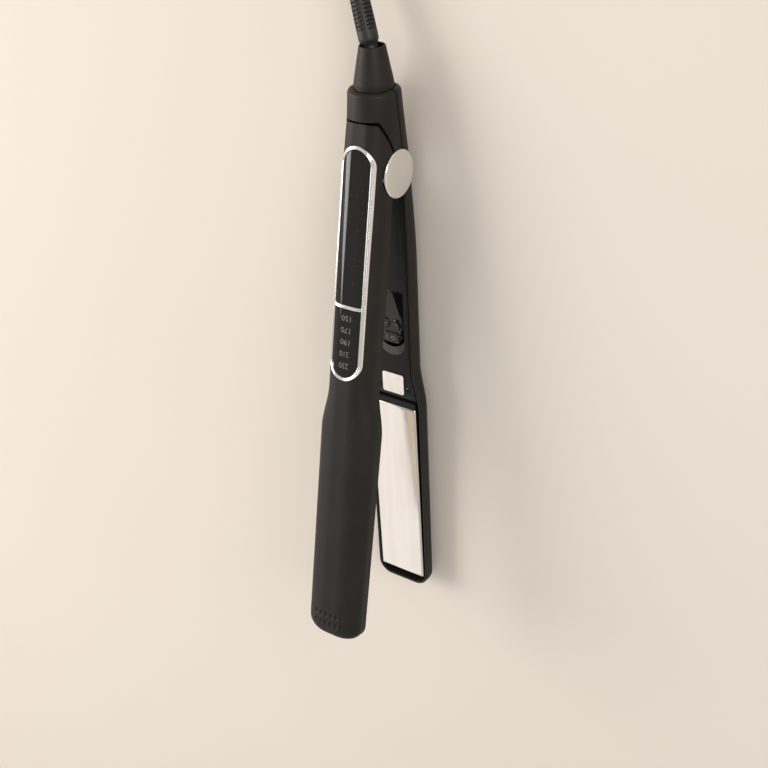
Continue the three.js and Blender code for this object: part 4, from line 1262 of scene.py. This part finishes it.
def circuit_board():
    """Green lacquer over copper: brick-like tracks, with solder-pale dots."""
    finish = Finish("circuit_lacquer", (0.01, 0.07, 0.03), 0.3)
    tracks = finish.node("ShaderNodeTexBrick", {}, {
        "Vector": finish.place, "Color1": (1, 1, 1, 1), "Color2": (0.6, 0.6, 0.6, 1), "Mortar": (0, 0, 0, 1),
        "Scale": 260.0, "Mortar Size": 0.03,
    })
    cells = finish.node("ShaderNodeTexVoronoi", {}, {"Vector": finish.place, "Scale": 420.0})
    dots = 1 - finish.ramp(cells, 0.10, 0.16)
    lacquer = finish.blend(tracks, (0.03, 0.16, 0.07), (0.008, 0.065, 0.028))
    tone = finish.blend(dots, lacquer, (0.62, 0.6, 0.55))
    return finish.made(tone, 0.25 + dots * 0.15, tracks * 0.5 + dots * 0.5, 0.00004, 0.5)


def label_film():
    """Pale satin film, a little yellowed and mottled."""
    finish = Finish("label_film", (0.83, 0.79, 0.74), 0.38)
    mottle = finish.patches(220, 4, 0.6, 0.4, 0.7)
    tone = finish.blend(mottle, (0.86, 0.82, 0.77), (0.79, 0.73, 0.67))
    return finish.made(tone, 0.32 + mottle * 0.12, finish.noise(1400, 2), 0.00001, 0.5)


def printed_white():
    """Screen-printed numerals and marks: a slightly uneven grey-white ink."""
    finish = Finish("printed_ink", (0.2, 0.195, 0.19), 0.45)
    wear = finish.patches(2600, 3, 0.6, 0.35, 0.7)
    tone = finish.blend(wear, (0.11, 0.107, 0.102), (0.165, 0.16, 0.154))
    return finish.made(tone, 0.4 + wear * 0.15)


def silicone_sleeve():
    """The leads' red silicone, mottled and faintly grained."""
    finish = Finish("silicone_sleeve", (0.38, 0.045, 0.035), 0.45)
    mottle = finish.patches(500, 3, 0.5, 0.35, 0.7)
    tone = finish.blend(mottle, (0.42, 0.05, 0.04), (0.3, 0.035, 0.03))
    return finish.made(tone, 0.38 + mottle * 0.14, finish.noise(2600, 2), 0.00002, 0.4)


def dress(material, *pieces):
    """Gives every piece or CAD node one finish."""
    for piece in pieces:
        item = frame["nodes"][piece] if isinstance(piece, str) else piece
        item.data.materials.clear()
        item.data.materials.append(material)


def each(pattern, *fillings):
    """The node names that a pattern gives with each filling."""
    return [pattern.format(filling) for filling in fillings]


dress(soft_touch(), *shells, cone)
dress(fine_matt(), *covers, *each("{}_plate_carrier", *PLACES), "swivel_ball")
dress(piano_black(), panel, *keys, *panes)
# The scoop's brown-grey colour is a painted highlight.
dress(satin_brown(), scoop)
dress(mirror_chrome(), *trims, *caps)
dress(plate_coating(), *plates)
dress(cord_rubber(), cord, boot, plug_body)
dress(strap_weave(), tie)
dress(label_film(), label)
dress(printed_white(), *numbers, *marks)
dress(blackened_steel(), *screws)
dress(satin_steel(), *pins, *each("{}_heater_clip", *PLACES), *each("lower_float_spring_{}", 1, 2),
      *each("upper_float_spring_{}", 1, 2), *each("{}_hinge_bracket", *PLACES), "hinge_pin",
      "torsion_spring", "thermal_fuse")


dress(turned_brass(), *each("hinge_bushing_{}", "left", "right"), *each("contact_ring_{}", 1, 2))
dress(white_ceramic(), *each("{}_heater", *PLACES))
dress(circuit_board(), "control_board", "display_board")
dress(silicone_sleeve(), *each("lower_lead_{}", 1, 2), *each("upper_lead_{}", 1, 2))


# ---------------------------------------------------------------- floor and light
def make_floor():
    """A wide plain floor under the lying iron."""
    half, height = 30.0, -0.0002
    corners_xy = ((-half, -half), (half, -half), (half, half), (-half, half))
    mesh = bpy.data.meshes.new("floor")
    mesh.from_pydata([(x, y, height) for x, y in corners_xy], [], [(0, 1, 2, 3)])
    ground = linked("floor", mesh)
    finish = Finish("pale_floor", (0.70, 0.65, 0.59), 0.75, specular=0.2)
    tone = finish.blend(finish.patches(2.5, 2, 0.5, 0.3, 0.7), (0.69, 0.64, 0.58), (0.71, 0.665, 0.605))
    mesh.materials.append(finish.made(tone, 0.75))


def soft_light(name, place, aim, size, watts, colour):
    """A rectangular soft box that looks at a point."""
    data = bpy.data.lights.new(name, "AREA")
    data.shape = "RECTANGLE"
    data.size, data.size_y = size
    data.energy = watts
    data.color = colour
    lamp = linked(name, data)
    lamp.location = place
    lamp.rotation_mode = "QUATERNION"
    lamp.rotation_quaternion = (Vector(aim) - Vector(place)).to_track_quat("-Z", "Y")


def make_light():
    """A pale surround, large window-like boxes from the left and from in front, a weak card
    by the tips, and a low warm box for the sheen on the edges."""
    world = bpy.data.worlds.new("surround")
    world.use_nodes = True
    backdrop = next(n for n in world.node_tree.nodes if n.type == "BACKGROUND")
    backdrop.inputs["Color"].default_value = (1.0, 0.955, 0.91, 1)
    backdrop.inputs["Strength"].default_value = 0.55
    bpy.context.scene.world = world
    soft_light("key", (0.3, 1.5, 1.05), (0, 0, 0), (1.1, 1.1), 24, (1.0, 0.97, 0.935))
    soft_light("card", (-0.95, 0.85, 1.05), (-0.15, 0, 0), (1.0, 1.0), 1.5, (1.0, 0.97, 0.94))
    soft_light("sheen", (0.45, 1.25, 0.22), (0.05, 0, 0.02), (0.6, 0.3), 4.0, (1.0, 0.52, 0.32))
    soft_light("front", (1.0, -1.5, 1.2), (0, -0.1, 0), (1.0, 1.0), 21, (1.0, 0.965, 0.93))


make_floor()
make_light()
bpy.context.scene.view_settings.view_transform = "Standard"
